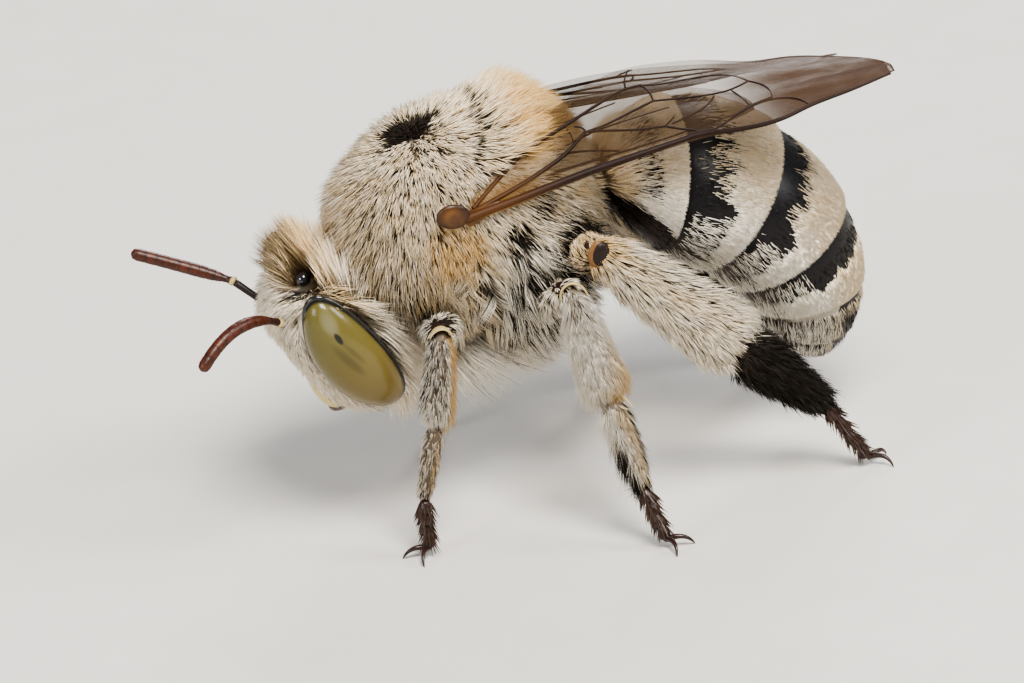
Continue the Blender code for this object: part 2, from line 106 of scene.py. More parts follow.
HEAD_FORWARD, HEAD_UP = in_head(1, 0, 0) - HEAD_CENTRE, in_head(0, 0, 1) - HEAD_CENTRE
low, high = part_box("ocellus_middle")
SHIFT = np.array((low + high) / 2) / MM - in_head(0.22, 0.0, 1.56)
print("shift to the packed frame, mm:", SHIFT.round(3))

# %% [markdown]
# ## Camera, floor and light
# A bee this small is pictured with a long lens from close by. The camera looks at the left side, turned 12
# degrees towards the head and 24 degrees above the floor, and is rolled so that the bee leans as it would on
# a slope. The light is a big soft panel over the left shoulder, weaker ones ahead and towards the tail, and
# a small one behind that lights the far edge. A pale room all round helps, because a white coat needs light
# from every side.

# %% Camera


def add_object(name, data):
    """A new object in the scene."""
    made = bpy.data.objects.new(name, data)
    bpy.context.scene.collection.objects.link(made)
    return made


AIM = np.array([0.12, 0.0, 3.06])
DISTANCE = 200.0
PICTURE_WIDTH = 21.11  # millimetres across at the bee
SENSOR = 36
azimuth, elevation, roll = math.radians(-12), math.radians(24), math.radians(-7)
level = math.cos(elevation)
back = Vector((math.sin(azimuth) * level, -math.cos(azimuth) * level, math.sin(elevation)))
right = Vector((math.cos(azimuth), math.sin(azimuth), 0))
up = back.cross(right)
rolled_right = right * math.cos(roll) + up * math.sin(roll)
rolled_up = up * math.cos(roll) - right * math.sin(roll)
camera_data = bpy.data.cameras.new("camera")
camera_data.sensor_width = SENSOR
camera_data.lens = SENSOR * DISTANCE / PICTURE_WIDTH
camera_data.clip_start, camera_data.clip_end = 0.005, 20
camera = add_object("camera", camera_data)
place = Vector(in_metres(AIM)) + back * DISTANCE * MM
camera.matrix_world = Matrix.Translation(place) @ Matrix((rolled_right, rolled_up, back)).transposed().to_4x4()
bpy.context.scene.camera = camera
print("lens:", round(camera_data.lens), "mm, at", [round(v / MM) for v in place], "mm")

# %% [markdown]
# ## A small language for materials
# Blender's materials are graphs of nodes. Written out one by one they are hard to read, so a Recipe holds
# one material, and a Wire is one output of a node. Adding or multiplying wires adds the Math nodes, so a
# pattern reads as a formula. Values that are the same all over a piece are set on the shader itself.

# %% A wire


class Wire:
    """One output of a node, on which arithmetic works."""

    def __init__(self, recipe, socket):
        self.recipe, self.socket = recipe, socket

    def math(self, operation, first, second):
        node = self.recipe.node("ShaderNodeMath", {"operation": operation})
        self.recipe.plug(node.inputs[0], first)
        self.recipe.plug(node.inputs[1], second)
        return Wire(self.recipe, node.outputs[0])

    def __add__(self, other):
        return self.math("ADD", self, other)

    def __mul__(self, other):
        return self.math("MULTIPLY", self, other)

    def __sub__(self, other):
        return self.math("SUBTRACT", self, other)

    def __rsub__(self, other):
        return self.math("SUBTRACT", other, self)

    def __truediv__(self, other):
        return self.math("DIVIDE", self, other)

    __radd__, __rmul__ = __add__, __mul__

    def ramp(self, start, end):
        """0 below start, 1 above end, and smooth between. Start may be above end."""
        node = self.recipe.node("ShaderNodeMapRange", {"interpolation_type": "SMOOTHSTEP"}, Value=self)
        node.inputs["From Min"].default_value = start
        node.inputs["From Max"].default_value = end
        return Wire(self.recipe, node.outputs[0])


# %% A recipe


class Recipe:
    """A material with one Principled shader. Constants are given by their sockets' names."""

    def __init__(self, name, **constants):
        self.material = bpy.data.materials.new(name)
        self.material.use_nodes = True
        self.tree = self.material.node_tree
        self.shader = self.tree.nodes["Principled BSDF"]
        self.set(**constants)

    def plug(self, slot, item):
        if isinstance(item, Wire):
            self.tree.links.new(item.socket, slot)
        elif isinstance(item, tuple) and slot.type == "RGBA":
            slot.default_value = (*item, 1.0)
        else:
            slot.default_value = item

    def set(self, **sockets):
        for name, item in sockets.items():
            self.plug(self.shader.inputs[name.replace("_", " ")], item)

    def node(self, kind, settings=None, **sockets):
        node = self.tree.nodes.new(kind)
        for name, value in (settings or {}).items():
            setattr(node, name, value)
        for name, item in sockets.items():
            self.plug(node.inputs[name.replace("_", " ")], item)
        return node

    def out(self, kind, settings=None, output=0, **sockets):
        return Wire(self, self.node(kind, settings, **sockets).outputs[output])

    def attribute(self, name):
        """A number stored on the piece's points."""
        return self.out("ShaderNodeAttribute", {"attribute_name": name}, "Fac")

    def place(self, stretch=(1, 1, 1)):
        """The point on the piece, in millimetres."""
        spot = self.out("ShaderNodeTexCoord", None, "Object")
        return self.out("ShaderNodeMapping", None, 0, Vector=spot, Scale=tuple(s / MM for s in stretch))

    def noise(self, per_mm, detail=3.0, stretch=(1, 1, 1)):
        vector = self.place(stretch)
        return self.out("ShaderNodeTexNoise", None, "Fac", Vector=vector, Scale=per_mm, Detail=detail)

    def mix(self, factor, first, second):
        """From the first colour to the second as factor goes from 0 to 1."""
        node = self.node("ShaderNodeMix", {"data_type": "RGBA"})
        self.plug(node.inputs[0], factor)
        self.plug(node.inputs[6], first)
        self.plug(node.inputs[7], second)
        return Wire(self, node.outputs[2])

    def bump(self, height, depth_mm, strength=1.0):
        return self.out("ShaderNodeBump", None, 0, Height=height, Distance=depth_mm * MM, Strength=strength)


def mottled(name, per_mm, first, second, grain=None, **constants):
    """A finish that wanders between two colours. Grain is a fine bump: how many in a mm, depth, strength."""
    made = Recipe(name, **constants)
    made.set(Base_Color=made.mix(made.noise(per_mm), first, second))
    if grain:
        fine, depth_mm, strength = grain
        made.set(Normal=made.bump(made.noise(fine, 2), depth_mm, strength))
    return made


# %% Floor, lamps and room
floor_finish = Recipe("pale_floor", Roughness=0.85)
grain = floor_finish.noise(0.6, 4)
floor_finish.set(Base_Color=floor_finish.mix(grain, (0.60, 0.575, 0.54), (0.66, 0.64, 0.605)))
floor_mesh = bpy.data.meshes.new("floor")
floor_mesh.from_pydata([(-2, -2, 0), (2, -2, 0), (2, 2, 0), (-2, 2, 0)], [], [(0, 1, 2, 3)])
floor_mesh.materials.append(floor_finish.material)
floor = add_object("floor", floor_mesh)
floor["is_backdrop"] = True
LAMPS_AIM = Vector((0, 0, 5 * MM))


def lamp(name, where, size, watts, colour=(1, 1, 1)):
    """A square soft panel at a place in millimetres, facing the bee."""
    data = bpy.data.lights.new(name, "AREA")
    data.size, data.energy, data.color = size * MM, watts, colour
    made = add_object(name, data)
    made.location = Vector(where) * MM
    made.rotation_euler = (LAMPS_AIM - made.location).to_track_quat("-Z", "Y").to_euler()


lamp("key", (20, -120, 200), 90, 0.88, (1.0, 0.96, 0.89))
lamp("front", (-190, -90, 90), 90, 0.20, (0.96, 0.97, 1.0))
lamp("tail", (190, -90, 150), 90, 0.34, (0.97, 0.98, 1.0))
lamp("rim", (80, 170, 120), 80, 0.26)
world = bpy.data.worlds.new("room")
world.use_nodes = True
room_light = world.node_tree.nodes["Background"].inputs
room_light["Color"].default_value = (0.86, 0.88, 0.92, 1)
room_light["Strength"].default_value = 0.30
bpy.context.scene.world = world
bpy.context.scene.view_settings.look = "AgX - Medium High Contrast"
print("lamps:", [light.name for light in bpy.data.lights])

# %% [markdown]
# ## Lofts
# Most of a bee is made of closed tubes that swell and taper: the thorax, the head, the abdomen's rings and
# every length of leg. A loft is a stack of rings of points. The same rings give the skin's mesh and the
# places for the coat's hairs, with how far along and how far round the loft each hair is.

# %% Loft helpers


def unit(vectors):
    return vectors / np.maximum(np.linalg.norm(vectors, axis=-1, keepdims=True), 1e-12)


def smooth(value, start, end):
    """0 at start, 1 at end, and smooth between."""
    t = np.clip((np.asarray(value, float) - start) / (end - start), 0, 1)
    return t * t * (3 - 2 * t)


def fade(value, start, end):
    """1 at start, 0 at end, and smooth between."""
    return 1 - smooth(value, start, end)


def loft(centres, sideways, upward, half_side, half_up, sides):
    """Rings of points about the centres, each an ellipse in the plane of sideways and upward."""
    turns = 2 * np.pi * np.arange(sides) / sides
    half_side, half_up = (np.broadcast_to(h, len(centres)) for h in (half_side, half_up))
    sideways, upward = (np.broadcast_to(v, (len(centres), 3)) for v in (sideways, upward))
    across = sideways[:, None] * (half_side[:, None] * np.cos(turns))[..., None]
    return centres[:, None] + across + upward[:, None] * (half_up[:, None] * np.sin(turns))[..., None]


def loft_faces(rings, first=0):
    """Faces of a closed skin over the rings, numbered from first."""
    index = np.arange(rings.shape[0] * rings.shape[1]).reshape(rings.shape[:2]) + first
    beside = np.roll(index, -1, axis=1)
    quads = np.stack([index[:-1], beside[:-1], beside[1:], index[1:]], -1).reshape(-1, 4)
    return quads.tolist() + [index[0][::-1].tolist(), index[-1].tolist()]


def several(lofts):
    """The points and faces of several lofts as one mesh."""
    faces, count = [], 0
    for rings in lofts:
        faces += loft_faces(rings, count)
        count += rings.shape[0] * rings.shape[1]
    return np.concatenate([rings.reshape(-1, 3) for rings in lofts]), faces


# %% From arrays to pieces


def read_points(mesh):
    """A mesh's points as an array."""
    points = np.empty(len(mesh.vertices) * 3, np.float32)
    mesh.vertices.foreach_get("co", points)
    return points.reshape(-1, 3)


def store(mesh, numbers):
    """Stores numbers on a mesh's points, each under its name."""
    for key, values in numbers.items():
        mesh.attributes.new(key, "FLOAT", "POINT").data.foreach_set("value", np.asarray(values, np.float32))


def made_real(body):
    """The mesh that an object's modifiers make. The object itself is removed."""
    mesh = bpy.data.meshes.new_from_object(body.evaluated_get(bpy.context.evaluated_depsgraph_get()))
    bpy.data.objects.remove(body)
    return mesh


def finish_piece(mesh, name, finish, nodes=()):
    """Makes the object, parents it to the root body, gives it its finish and hides the CAD parts it stands for."""
    mesh.materials.clear()
    mesh.materials.append(finish.material)
    piece = add_object(name, mesh)
    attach(piece, "root")
    if nodes:
        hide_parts(*nodes)
    print(f"{name}: {len(mesh.polygons)} faces")


def solid(name, points, faces, finish, nodes=(), numbers=None):
    """A closed piece from points in the bee's millimetres, with numbers stored on its points."""
    mesh = bpy.data.meshes.new(name)
    mesh.from_pydata(in_metres(points).tolist(), [], faces)
    store(mesh, numbers or {})
    shape = bmesh.new()
    shape.from_mesh(mesh)
    bmesh.ops.recalc_face_normals(shape, faces=shape.faces)
    if shape.calc_volume(signed=True) < 0:
        bmesh.ops.reverse_faces(shape, faces=shape.faces)
    shape.to_mesh(mesh)
    shape.free()
    mesh.shade_smooth()
    finish_piece(mesh, name, finish, nodes)


def loft_piece(name, rings, finish, nodes=(), numbers=None):
    """A closed piece that is one loft."""
    solid(name, rings.reshape(-1, 3), loft_faces(rings), finish, nodes, numbers)


def bulb(count):
    """Places from 1 to -1 along a rounded body, close together at its ends, and how full it is at each."""
    t = np.cos(np.pi * np.linspace(0.02, 0.98, count))
    return t, np.sqrt(1 - t**2)


# %% [markdown]
# ## The body's measures
# These are the CAD's own sizes. Its solids reach out to the hair tips, so the shell inside is smaller by
# the depth of the coat: nearly half a millimetre on the thorax, and a tenth on the abdomen.

# %% Thorax and head
FINE = 72  # points round the body


def thorax_loft(depth=0.42):
    """The thorax's shell, at this depth under the hair tips."""
    t = np.linspace(-0.998, 0.998, 44)
    half_x, half_y, half_z = 2.87 - depth, 2.5 - depth, 2.58 - depth
    swell = np.sqrt(1 - np.abs(t) ** 2.25)
    hump = 0.22 * np.exp(-((((t + 1) / 2 - 0.72) / 0.16) ** 2))
    centres = np.stack([-0.51 + t * half_x, 0 * t, 6.17 + hump / 2], -1)
    return loft(centres, (0, 1, 0), (0, 0, 1), half_y * swell, half_z * swell + hump / 2, FINE)


def head_loft(depth=0.2):
    """A flat-faced head, narrower at the mouth."""
    t = np.linspace(-0.998, 0.998, 36)
    tall, deep, wide = 1.7 - 0.7 * depth, 1.15 - depth, 2.02 - depth
    swell = np.sqrt(1 - np.abs(t) ** 3.2)
    taper = 0.8 + 0.2 * np.clip((t + 1) / 2 / 0.6, 0, 1)
    centres = in_head(0.1 + 0 * t, 0 * t, -0.08 + t * tall)
    return loft(centres, HEAD_FORWARD, np.array([0, 1, 0]), deep * swell, wide * swell * taper, FINE)


# %% Abdomen
WAIST = np.array([2.25, 0.0, 6.24])
ABDOMEN_LENGTH, START_DIP, CURL = 7.32, math.radians(-5.3), math.radians(109)
SEGMENT_ENDS = (0.0, 0.195, 0.415, 0.62, 0.805, 0.92, 1.0)


def abdomen_axis(t):
    """Places and directions along the abdomen's centre line, an arc that curls down."""
    radius = ABDOMEN_LENGTH / CURL
    dip = START_DIP + CURL * t
    x = radius * (np.sin(dip) - math.sin(START_DIP))
    z = radius * (np.cos(dip) - math.cos(START_DIP))
    return WAIST + np.stack([x, 0 * t, z], -1), np.stack([np.cos(dip), 0 * t, -np.sin(dip)], -1)


def abdomen_swell(t):
    front = 0.3 + 0.7 * np.sin(np.minimum(1, t / 0.3) * np.pi / 2) ** 0.8
    return front * np.sqrt(np.maximum(0, 1 - (np.maximum(0, t - 0.28) / 0.74) ** 2.2))


def abdomen_loft(t, fullness, depth):
    """Rings of the abdomen at shares t of its length, at a depth under the hair tips."""
    centres, along = abdomen_axis(t)
    full = abdomen_swell(np.minimum(t, 0.995)) * fullness
    upward = np.cross(along, (0, 1, 0))
    wide, tall = np.maximum(0.02, 2.2 * full - depth), np.maximum(0.02, 1.81 * full - depth)
    return loft(centres, (0, 1, 0), upward, wide, tall, FINE)


thorax_rings, head_rings = thorax_loft(), head_loft()
abdomen_core = abdomen_loft(np.linspace(0.0, 0.99, 40), 0.96, 0.2)
print("thorax, head and abdomen lofts:", thorax_rings.shape, head_rings.shape, abdomen_core.shape)

# %% [markdown]
# ## Legs
# A bee's leg is a thigh, a broad flat shin, a long heel joint, three bead-like joints and a last one with
# two claws. The shins of this female are brushes that carry pollen, so they are widest where the coat is
# longest. The right feet stand further back than the left ones.

# %% Leg measures
LEGS = {
    "front": dict(
        path=[(-1.5, -0.9, 4.2), (-1.9, -2.75, 4.85), (-2.28, -2.85, 2.9), (-2.7, -2.85, 1.3), (-2.72, -2.86, 0.2)],
        shin=(0.40, 0.64), heel=(0.36, 0.26), flat=0.8, step=(1.65, 0, 0), knee=0.5,
    ),
    "middle": dict(
        path=[(0.3, -1.0, 4.1), (0.82, -3.0, 5.3), (1.15, -3.9, 3.15), (1.5, -4.5, 1.3), (1.78, -4.82, 0.2)],
        shin=(0.46, 0.98), heel=(0.52, 0.30), flat=0.7, step=(0.9, -1.2, 0), knee=0.52,
    ),
    "hind": dict(
        path=[(1.5, -1.1, 4.5), (1.37, -2.75, 6.08), (4.15, -3.0, 3.3), (5.85, -3.0, 1.58), (6.6, -3.05, 0.2)],
        shin=(0.60, 1.30), heel=(1.05, 0.42), flat=0.6, step=(0, 0, 0), knee=0.62,
    ),
}
STEP_SHARES = (0.0, 0.3, 0.65, 1.0, 1.0)  # how much of the right foot's step each joint takes
LEG_PLANE = np.array([1, 0, 0.6])
STRAIGHT = (0.16, 0.84)  # between these shares of its length, a length of leg isn't rounded off


def leg_path(which, side):
    """Hip, knee, ankle, heel and toe."""
    joints = np.array(LEGS[which]["path"]) * (1, -side, 1)
    if side > 0:
        joints = joints + np.outer(STEP_SHARES, LEGS[which]["step"])
    return joints


def limb_loft(start, end, widths, flat, sides=28, rings=26, belly=0.0):
    """A length of leg with round ends, broad along the leg's plane."""
    along = unit(end - start)
    broad = unit(LEG_PLANE - along * (LEG_PLANE @ along))
    t = (1 - np.cos(np.pi * np.linspace(0.02, 0.98, rings))) / 2
    near_end = np.maximum(STRAIGHT[0] - t, t - STRAIGHT[1]) / STRAIGHT[0]
    swell = np.sqrt(1 - np.clip(near_end, 0, 1) ** 2)
    half = (widths[0] + (widths[1] - widths[0]) * t + belly * np.sin(np.pi * t)) / 2 * swell
    return loft(start + np.outer(t, end - start), broad, np.cross(along, broad), half, half * flat, sides)


# %% Leg lofts
SIDES = (("left", -1), ("right", 1))
LEG_SIDES = [(which, side_name, side) for which in LEGS for side_name, side in SIDES]
limbs = {}
for which, side_name, side in LEG_SIDES:
    leg = LEGS[which]
    hip, knee, ankle, heel = leg_path(which, side)[:4]
    limbs["femur", which, side_name] = limb_loft(hip, knee, (0.62, leg["knee"]), 0.85, belly=0.12)
    limbs["tibia", which, side_name] = limb_loft(knee, ankle, leg["shin"], leg["flat"], belly=0.08)
    limbs["basitarsus", which, side_name] = limb_loft(ankle, heel, leg["heel"], leg["flat"], belly=0.1)
print("leg lofts:", len(limbs))

# %% [markdown]
# ## One skin
# The shell of head, neck, thorax, waist and legs is one piece, so that no seam shows. A voxel remesh wraps
# one even mesh round the overlapping lofts, as shrink film would, and a few rounds of smoothing soften the
# places where they meet. A tree of its faces then answers, for any hair, where the nearest skin is.

# %% Join the lofts into one skin
neck = limb_loft(np.array([-3.2, 0, 4.6]), np.array([-1.2, 0, 5.8]), (1.7, 2.4), 1.0)
waist_piece = limb_loft(np.array([1.0, 0, 6.2]), np.array([3.2, 0, 6.25]), (1.5, 1.3), 1.0)
breast = limb_loft(np.array([-1.7, 0, 4.6]), np.array([1.2, 0, 4.5]), (1.9, 2.0), 0.8)
SKIN_CELL = 0.075  # millimetres


def joined_skin(lofts, cell, rounds):
    """One closed mesh round overlapping lofts, in the bee's millimetres."""
    points, faces = several(lofts)
    mesh = bpy.data.meshes.new("lofts")
    mesh.from_pydata(points.tolist(), [], faces)
    body = add_object("lofts", mesh)
    wrap = body.modifiers.new("wrap", "REMESH")
    wrap.mode, wrap.voxel_size = "VOXEL", cell
    soften = body.modifiers.new("soften", "SMOOTH")
    soften.factor, soften.iterations = 0.5, rounds
    return made_real(body)


trunk = [thorax_rings, head_rings, abdomen_core, neck, waist_piece, breast]
skin_mesh = joined_skin([*trunk, *limbs.values()], SKIN_CELL, 5)
skin_points = read_points(skin_mesh).astype(float)
skin_tree = BVHTree.FromPolygons(skin_points.tolist(), [p.vertices[:] for p in skin_mesh.polygons])
print("skin faces:", len(skin_mesh.polygons))

# %% [markdown]
# ## Wings
# A wing is a clear film on a frame of tubes. Folded back, its chord slopes up towards the midline, and the
# slope eases towards the tip: the wing is twisted. Places on the wing are given as millimetres along it and
# inward from its front edge, so the film and the veins share one surface. The film is a thin closed sheet.

# %% Where the wings lie
WING_LENGTH, WING_CHORD = 9.15, 2.75
POSES = {"left": (10.2, 5.0, 36.0, -4.0), "right": (-1.8, 3.0, 42.0, 22.0)}  # rise, spread, root and tip slopes


def wing_frame(side_name):
    """A folded wing's side, its root, and the turn from its own axes to the bee's."""
    side, (rise, spread) = dict(SIDES)[side_name], POSES[side_name][:2]
    return side, np.array([-0.9, side * 2.42, 6.95]), turn(side * spread, "Z") @ turn(-rise, "Y")


def wing_slope(along, side_name):
    """How steeply the chord slopes: the wing is twisted."""
    root_slope, tip_slope = POSES[side_name][2:]
    return np.radians(root_slope + (tip_slope - root_slope) * along / WING_LENGTH)


def wing_place(along, inward, side_name, below=0.0):
    """Places on a folded wing."""
    side, root, axes = wing_frame(side_name)
    along, inward, below = np.broadcast_arrays(np.asarray(along, float), inward, below)
    slope = wing_slope(along, side_name)
    local = np.stack([
        along,
        -side * np.cos(slope) * inward - side * np.sin(slope) * below,
        np.sin(slope) * inward - np.cos(slope) * below,
    ], -1)
    return root + local @ axes.T


def chord_share(s):
    """How broad a wing is at a share of its length."""
    swell = 0.16 + 0.84 * np.sin(np.minimum(s / 0.5, 1) * np.pi / 2) ** 1.2
    return np.where(s < 0.5, swell, np.sqrt(np.maximum(0, 1 - np.abs((s - 0.5) / 0.5) ** 2.4)))


def front_edge(s):
    """How far the front edge bows in from a straight line, in millimetres."""
    along = s * WING_LENGTH
    turn_in = 0.275 * (np.maximum(0, s - 0.85) / 0.15) ** 2
    return turn_in + 0.16 * np.exp(-(((along - 3.6) / 1.8) ** 2)) - 0.22 * np.exp(-(((along - 6.5) / 0.7) ** 2))


UNDER_FILM = 0.06  # how far below the film a pressed hair lies, in millimetres


def under_wings(points):
    """Hairs that start beneath a folded wing stay beneath it: their upper points are pressed down."""
    for side_name in POSES:
        side, root, axes = wing_frame(side_name)
        local = (points - root) @ axes
        slope = wing_slope(local[..., 0], side_name)
        inward = -side * np.cos(slope) * local[..., 1] + np.sin(slope) * local[..., 2]
        below = -side * np.sin(slope) * local[..., 1] - np.cos(slope) * local[..., 2]
        share = np.clip(local[..., 0] / WING_LENGTH, 0, 0.99)
        inside = (local[..., 0] > 0.1) & (inward > -0.15) & (inward < WING_CHORD * chord_share(share) + 0.1)
        press = np.where(inside & (below[:, :1] > 0.02) & (below < UNDER_FILM), UNDER_FILM - below, 0)
        up = np.stack([0 * slope, side * np.sin(slope), np.cos(slope)], -1) @ axes.T
        points = points - up * press[..., None]
    return points


print("wings:", WING_LENGTH, "by", WING_CHORD, "mm")

# %% [markdown]
# ## How a coat is made
# A real bee has some hundred thousand feathery hairs. Particle hair doesn't survive an export, so each hair
# here is a thin solid blade: a three-sided spike that leaves the skin at one angle and settles to another.
# Neighbours lean together into small locks, which is what makes fur look like fur. Arrays hold all the
# hairs of a region at once, so that a hundred thousand of them take only seconds. Each blade carries four
# numbers for the material: how far up the blade a point is, a number of its own, and how black and how
# buff it is. Its patch on the OFBake map lies where its root is on an unwrap of the skin.

# %% Scatter and root
ROOT_DEPTH = 0.02  # millimetres into the skin


def scatter(rings, per_mm2, seed):
    """Random places on a loft, even by area: the points, how far along and round they are, and the flow."""
    rng = np.random.default_rng(seed)
    near, far = rings[:-1], rings[1:]
    near_next, far_next = np.roll(near, -1, 1), np.roll(far, -1, 1)
    area = np.linalg.norm(np.cross(far_next - near, far - near_next), axis=2) / 2
    count = int(per_mm2 * area.sum())
    cell = rng.choice(area.size, count, p=area.ravel() / area.sum())
    i, j = np.divmod(cell, area.shape[1])
    u, v = rng.random((2, count))
    first = near[i, j] * (1 - v)[:, None] + near_next[i, j] * v[:, None]
    second = far[i, j] * (1 - v)[:, None] + far_next[i, j] * v[:, None]
    points = first * (1 - u)[:, None] + second * u[:, None]
    flow = unit(second - first)
    across = unit(near_next[i, j] - near[i, j])
    return dict(
        points=points, flow=flow, normals=unit(np.cross(across, flow)),
        along=(i + u) / len(near), around=(j + v) / rings.shape[1], rng=rng,
    )


def keep(roots, mask):
    """Only the roots that the mask picks."""
    return {key: value[mask] if isinstance(value, np.ndarray) else value for key, value in roots.items()}


def on_skin(roots, reach=0.11):
    """Only the roots that are on the joined skin, moved onto it, with its normals."""
    found = [skin_tree.find_nearest(p) for p in roots["points"].tolist()]
    roots["normals"] = np.array([f[1] for f in found])
    distance = np.array([f[3] for f in found])
    roots["points"] = np.array([f[0] for f in found]) - roots["normals"] * ROOT_DEPTH
    return keep(roots, distance < reach)


# %% The line of each hair
# Each hair has a spine of bends + 1 points. Its lie is the way it points along the skin, with some of its
# own and some of its lock's. It leaves the skin at lift degrees and settles to another angle by its tip.
UNEVEN_LENGTH, UNEVEN_WIDTH, UNEVEN_LIE, UNEVEN_PITCH = (0.7, 1.2), (0.75, 1.2), 0.15, 7


def column(values, count):
    """One number for all hairs, or one for each, as a column."""
    return np.broadcast_to(values, count)[:, None]


def locks(points, cell):
    """Sorts roots into lock-sized cells: the cell of each root, and how many roots each cell has."""
    cells = np.floor(points / column(cell, len(points))).astype(int)
    group = np.unique(cells, axis=0, return_inverse=True)[1].ravel()
    return group, np.bincount(group)


def spines(roots, lie, length, lift, settle, bends, curl, group, size, lock, stray):
    """The hairs' spines, the direction across each hair, and how uneven their widths are."""
    rng, normals, count = roots["rng"], roots["normals"], len(roots["points"])
    stray = column(stray, count) * rng.normal(0, 1, (len(size), 3))[group]
    lie = unit(np.broadcast_to(lie, (count, 3))) + rng.normal(0, UNEVEN_LIE, (count, 3)) + stray
    lie = unit(lie - normals * (lie * normals).sum(1, keepdims=True))
    side = np.cross(normals, lie)
    length, uneven_width = length * rng.uniform(*UNEVEN_LENGTH, count), rng.uniform(*UNEVEN_WIDTH, count)
    middles = (np.arange(bends) + 0.5) / bends
    pitch = column(lift, count) * (1 - middles) + column(settle, count) * middles
    pitch = np.clip(np.radians(pitch + rng.normal(0, UNEVEN_PITCH, count)[:, None]), 0.03, 1.54)
    sway = rng.normal(0, curl, count)[:, None] * middles * 2
    step = np.cos(pitch)[..., None] * lie[:, None] + np.sin(pitch)[..., None] * normals[:, None]
    step = unit(step + sway[..., None] * side[:, None]) * (length / bends)[:, None, None]
    spine = roots["points"][:, None] + np.concatenate([np.zeros((count, 1, 3)), np.cumsum(step, 1)], 1)
    mean = np.stack([np.bincount(group, spine[:, -1, axis]) / size for axis in range(3)], -1)
    pull = (mean[group] - spine[:, -1]) * column(lock, count)
    along = np.arange(bends + 1) / bends
    return under_wings(spine + pull[:, None] * (along**2)[None, :, None]), side, uneven_width


# %% The blade round each line
BLADE_TAPER = (0, 0.35, 0.7, 1), (0.85, 1.0, 0.62, 0.0)  # shares of a hair's length, and how wide it is there
BLADE_LOW, BLADE_HIGH = 0.3, 0.7  # a blade's edges and its ridge, as shares of half its width
PATCH = (0.0015, 0.003)  # half a blade's width on the OFBake map, and its height


def blade_points(spine, side, normals, width):
    """Three corners round each point of a spine but the last, and then the tip."""
    count, bends = len(spine), spine.shape[1] - 1
    ahead = unit(np.diff(spine, axis=1))
    over = unit(np.cross(ahead, side[:, None]))
    over = over * np.sign((over * normals[:, None]).sum(-1, keepdims=True))
    half = (np.outer(width, np.interp(np.arange(bends) / bends, *BLADE_TAPER)) / 2)[..., None]
    base, flank = spine[:, :-1], side[:, None] * half
    low, high = over * half * BLADE_LOW, over * half * BLADE_HIGH
    corners = np.stack([base - flank - low, base + high, base + flank - low], 2)
    return np.concatenate([corners.reshape(count, -1, 3), spine[:, -1:]], 1)


def blade_faces(count, bends):
    """The faces of count blades: four-sided ones up to the last bend, then three to the tip and a foot."""
    per, last = 3 * bends + 1, 3 * (bends - 1)
    first = (np.arange(count) * per)[:, None, None]
    quads = [[low + c, low + 3 + c, low + 3 + (c + 1) % 3, low + (c + 1) % 3]
             for low in range(0, last, 3) for c in range(3)]
    tris = [[last + c, per - 1, last + (c + 1) % 3] for c in range(3)] + [[0, 1, 2]]
    quads, tris = first + np.array(quads, int).reshape(1, -1, 4), first + np.array(tris)[None]
    return quads.reshape(-1, 4), tris.reshape(-1, 3)


def grow(roots, lie, length, width, lift, settle, dark, buff, tile=(0, 1), curl=0.12, bends=2, lock=0.45,
         cell=0.16, pale=0.0, stray=0.1, tipped=0.0):
    """Blades from roots, with all that a coat piece needs of them. The tile is their part of the map. Pale lightens
    the painted shade at the blades' roots: their share starts at pale instead of 0.
    """
    rng, count = roots["rng"], len(roots["points"])
    group, size = locks(roots["points"], cell)
    spine, side, uneven = spines(roots, lie, length, lift, settle, bends, curl, group, size, lock, stray)
    points = blade_points(spine, side, roots["normals"], width * uneven)
    quads, tris = blade_faces(count, bends)
    own = rng.random(count) * 0.6 + rng.random(len(size))[group] * 0.4
    share = np.append(np.repeat(np.arange(bends) / bends, 3), 1.0)
    slide = np.append(np.tile((-1.0, 0.0, 1.0), bends), 0.0)
    low, high = tile
    root_u, root_v = 0.01 + 0.98 * roots["around"], low + (high - low) * (0.02 + 0.96 * roots["along"])
    uv = np.stack([root_u[:, None] + slide * PATCH[0], root_v[:, None] + (share - 0.5) * PATCH[1]], -1)
    ones, pale_root = np.ones((count, len(share))), column(tipped, count) * fade(share, 0.2, 0.75)
    return dict(
        points=points.reshape(-1, 3), quads=quads, tris=tris, uv=uv.reshape(-1, 2),
        blade_share=(ones * (pale + (1 - pale) * share)).ravel(),
        blade_own=(ones * own[:, None]).ravel(),
        dark=(column(dark, count) * (1 - pale_root)).ravel(),
        buff=(ones * column(buff, count)).ravel(),
    )


# %% Pieces of coat
coat_counts = {}


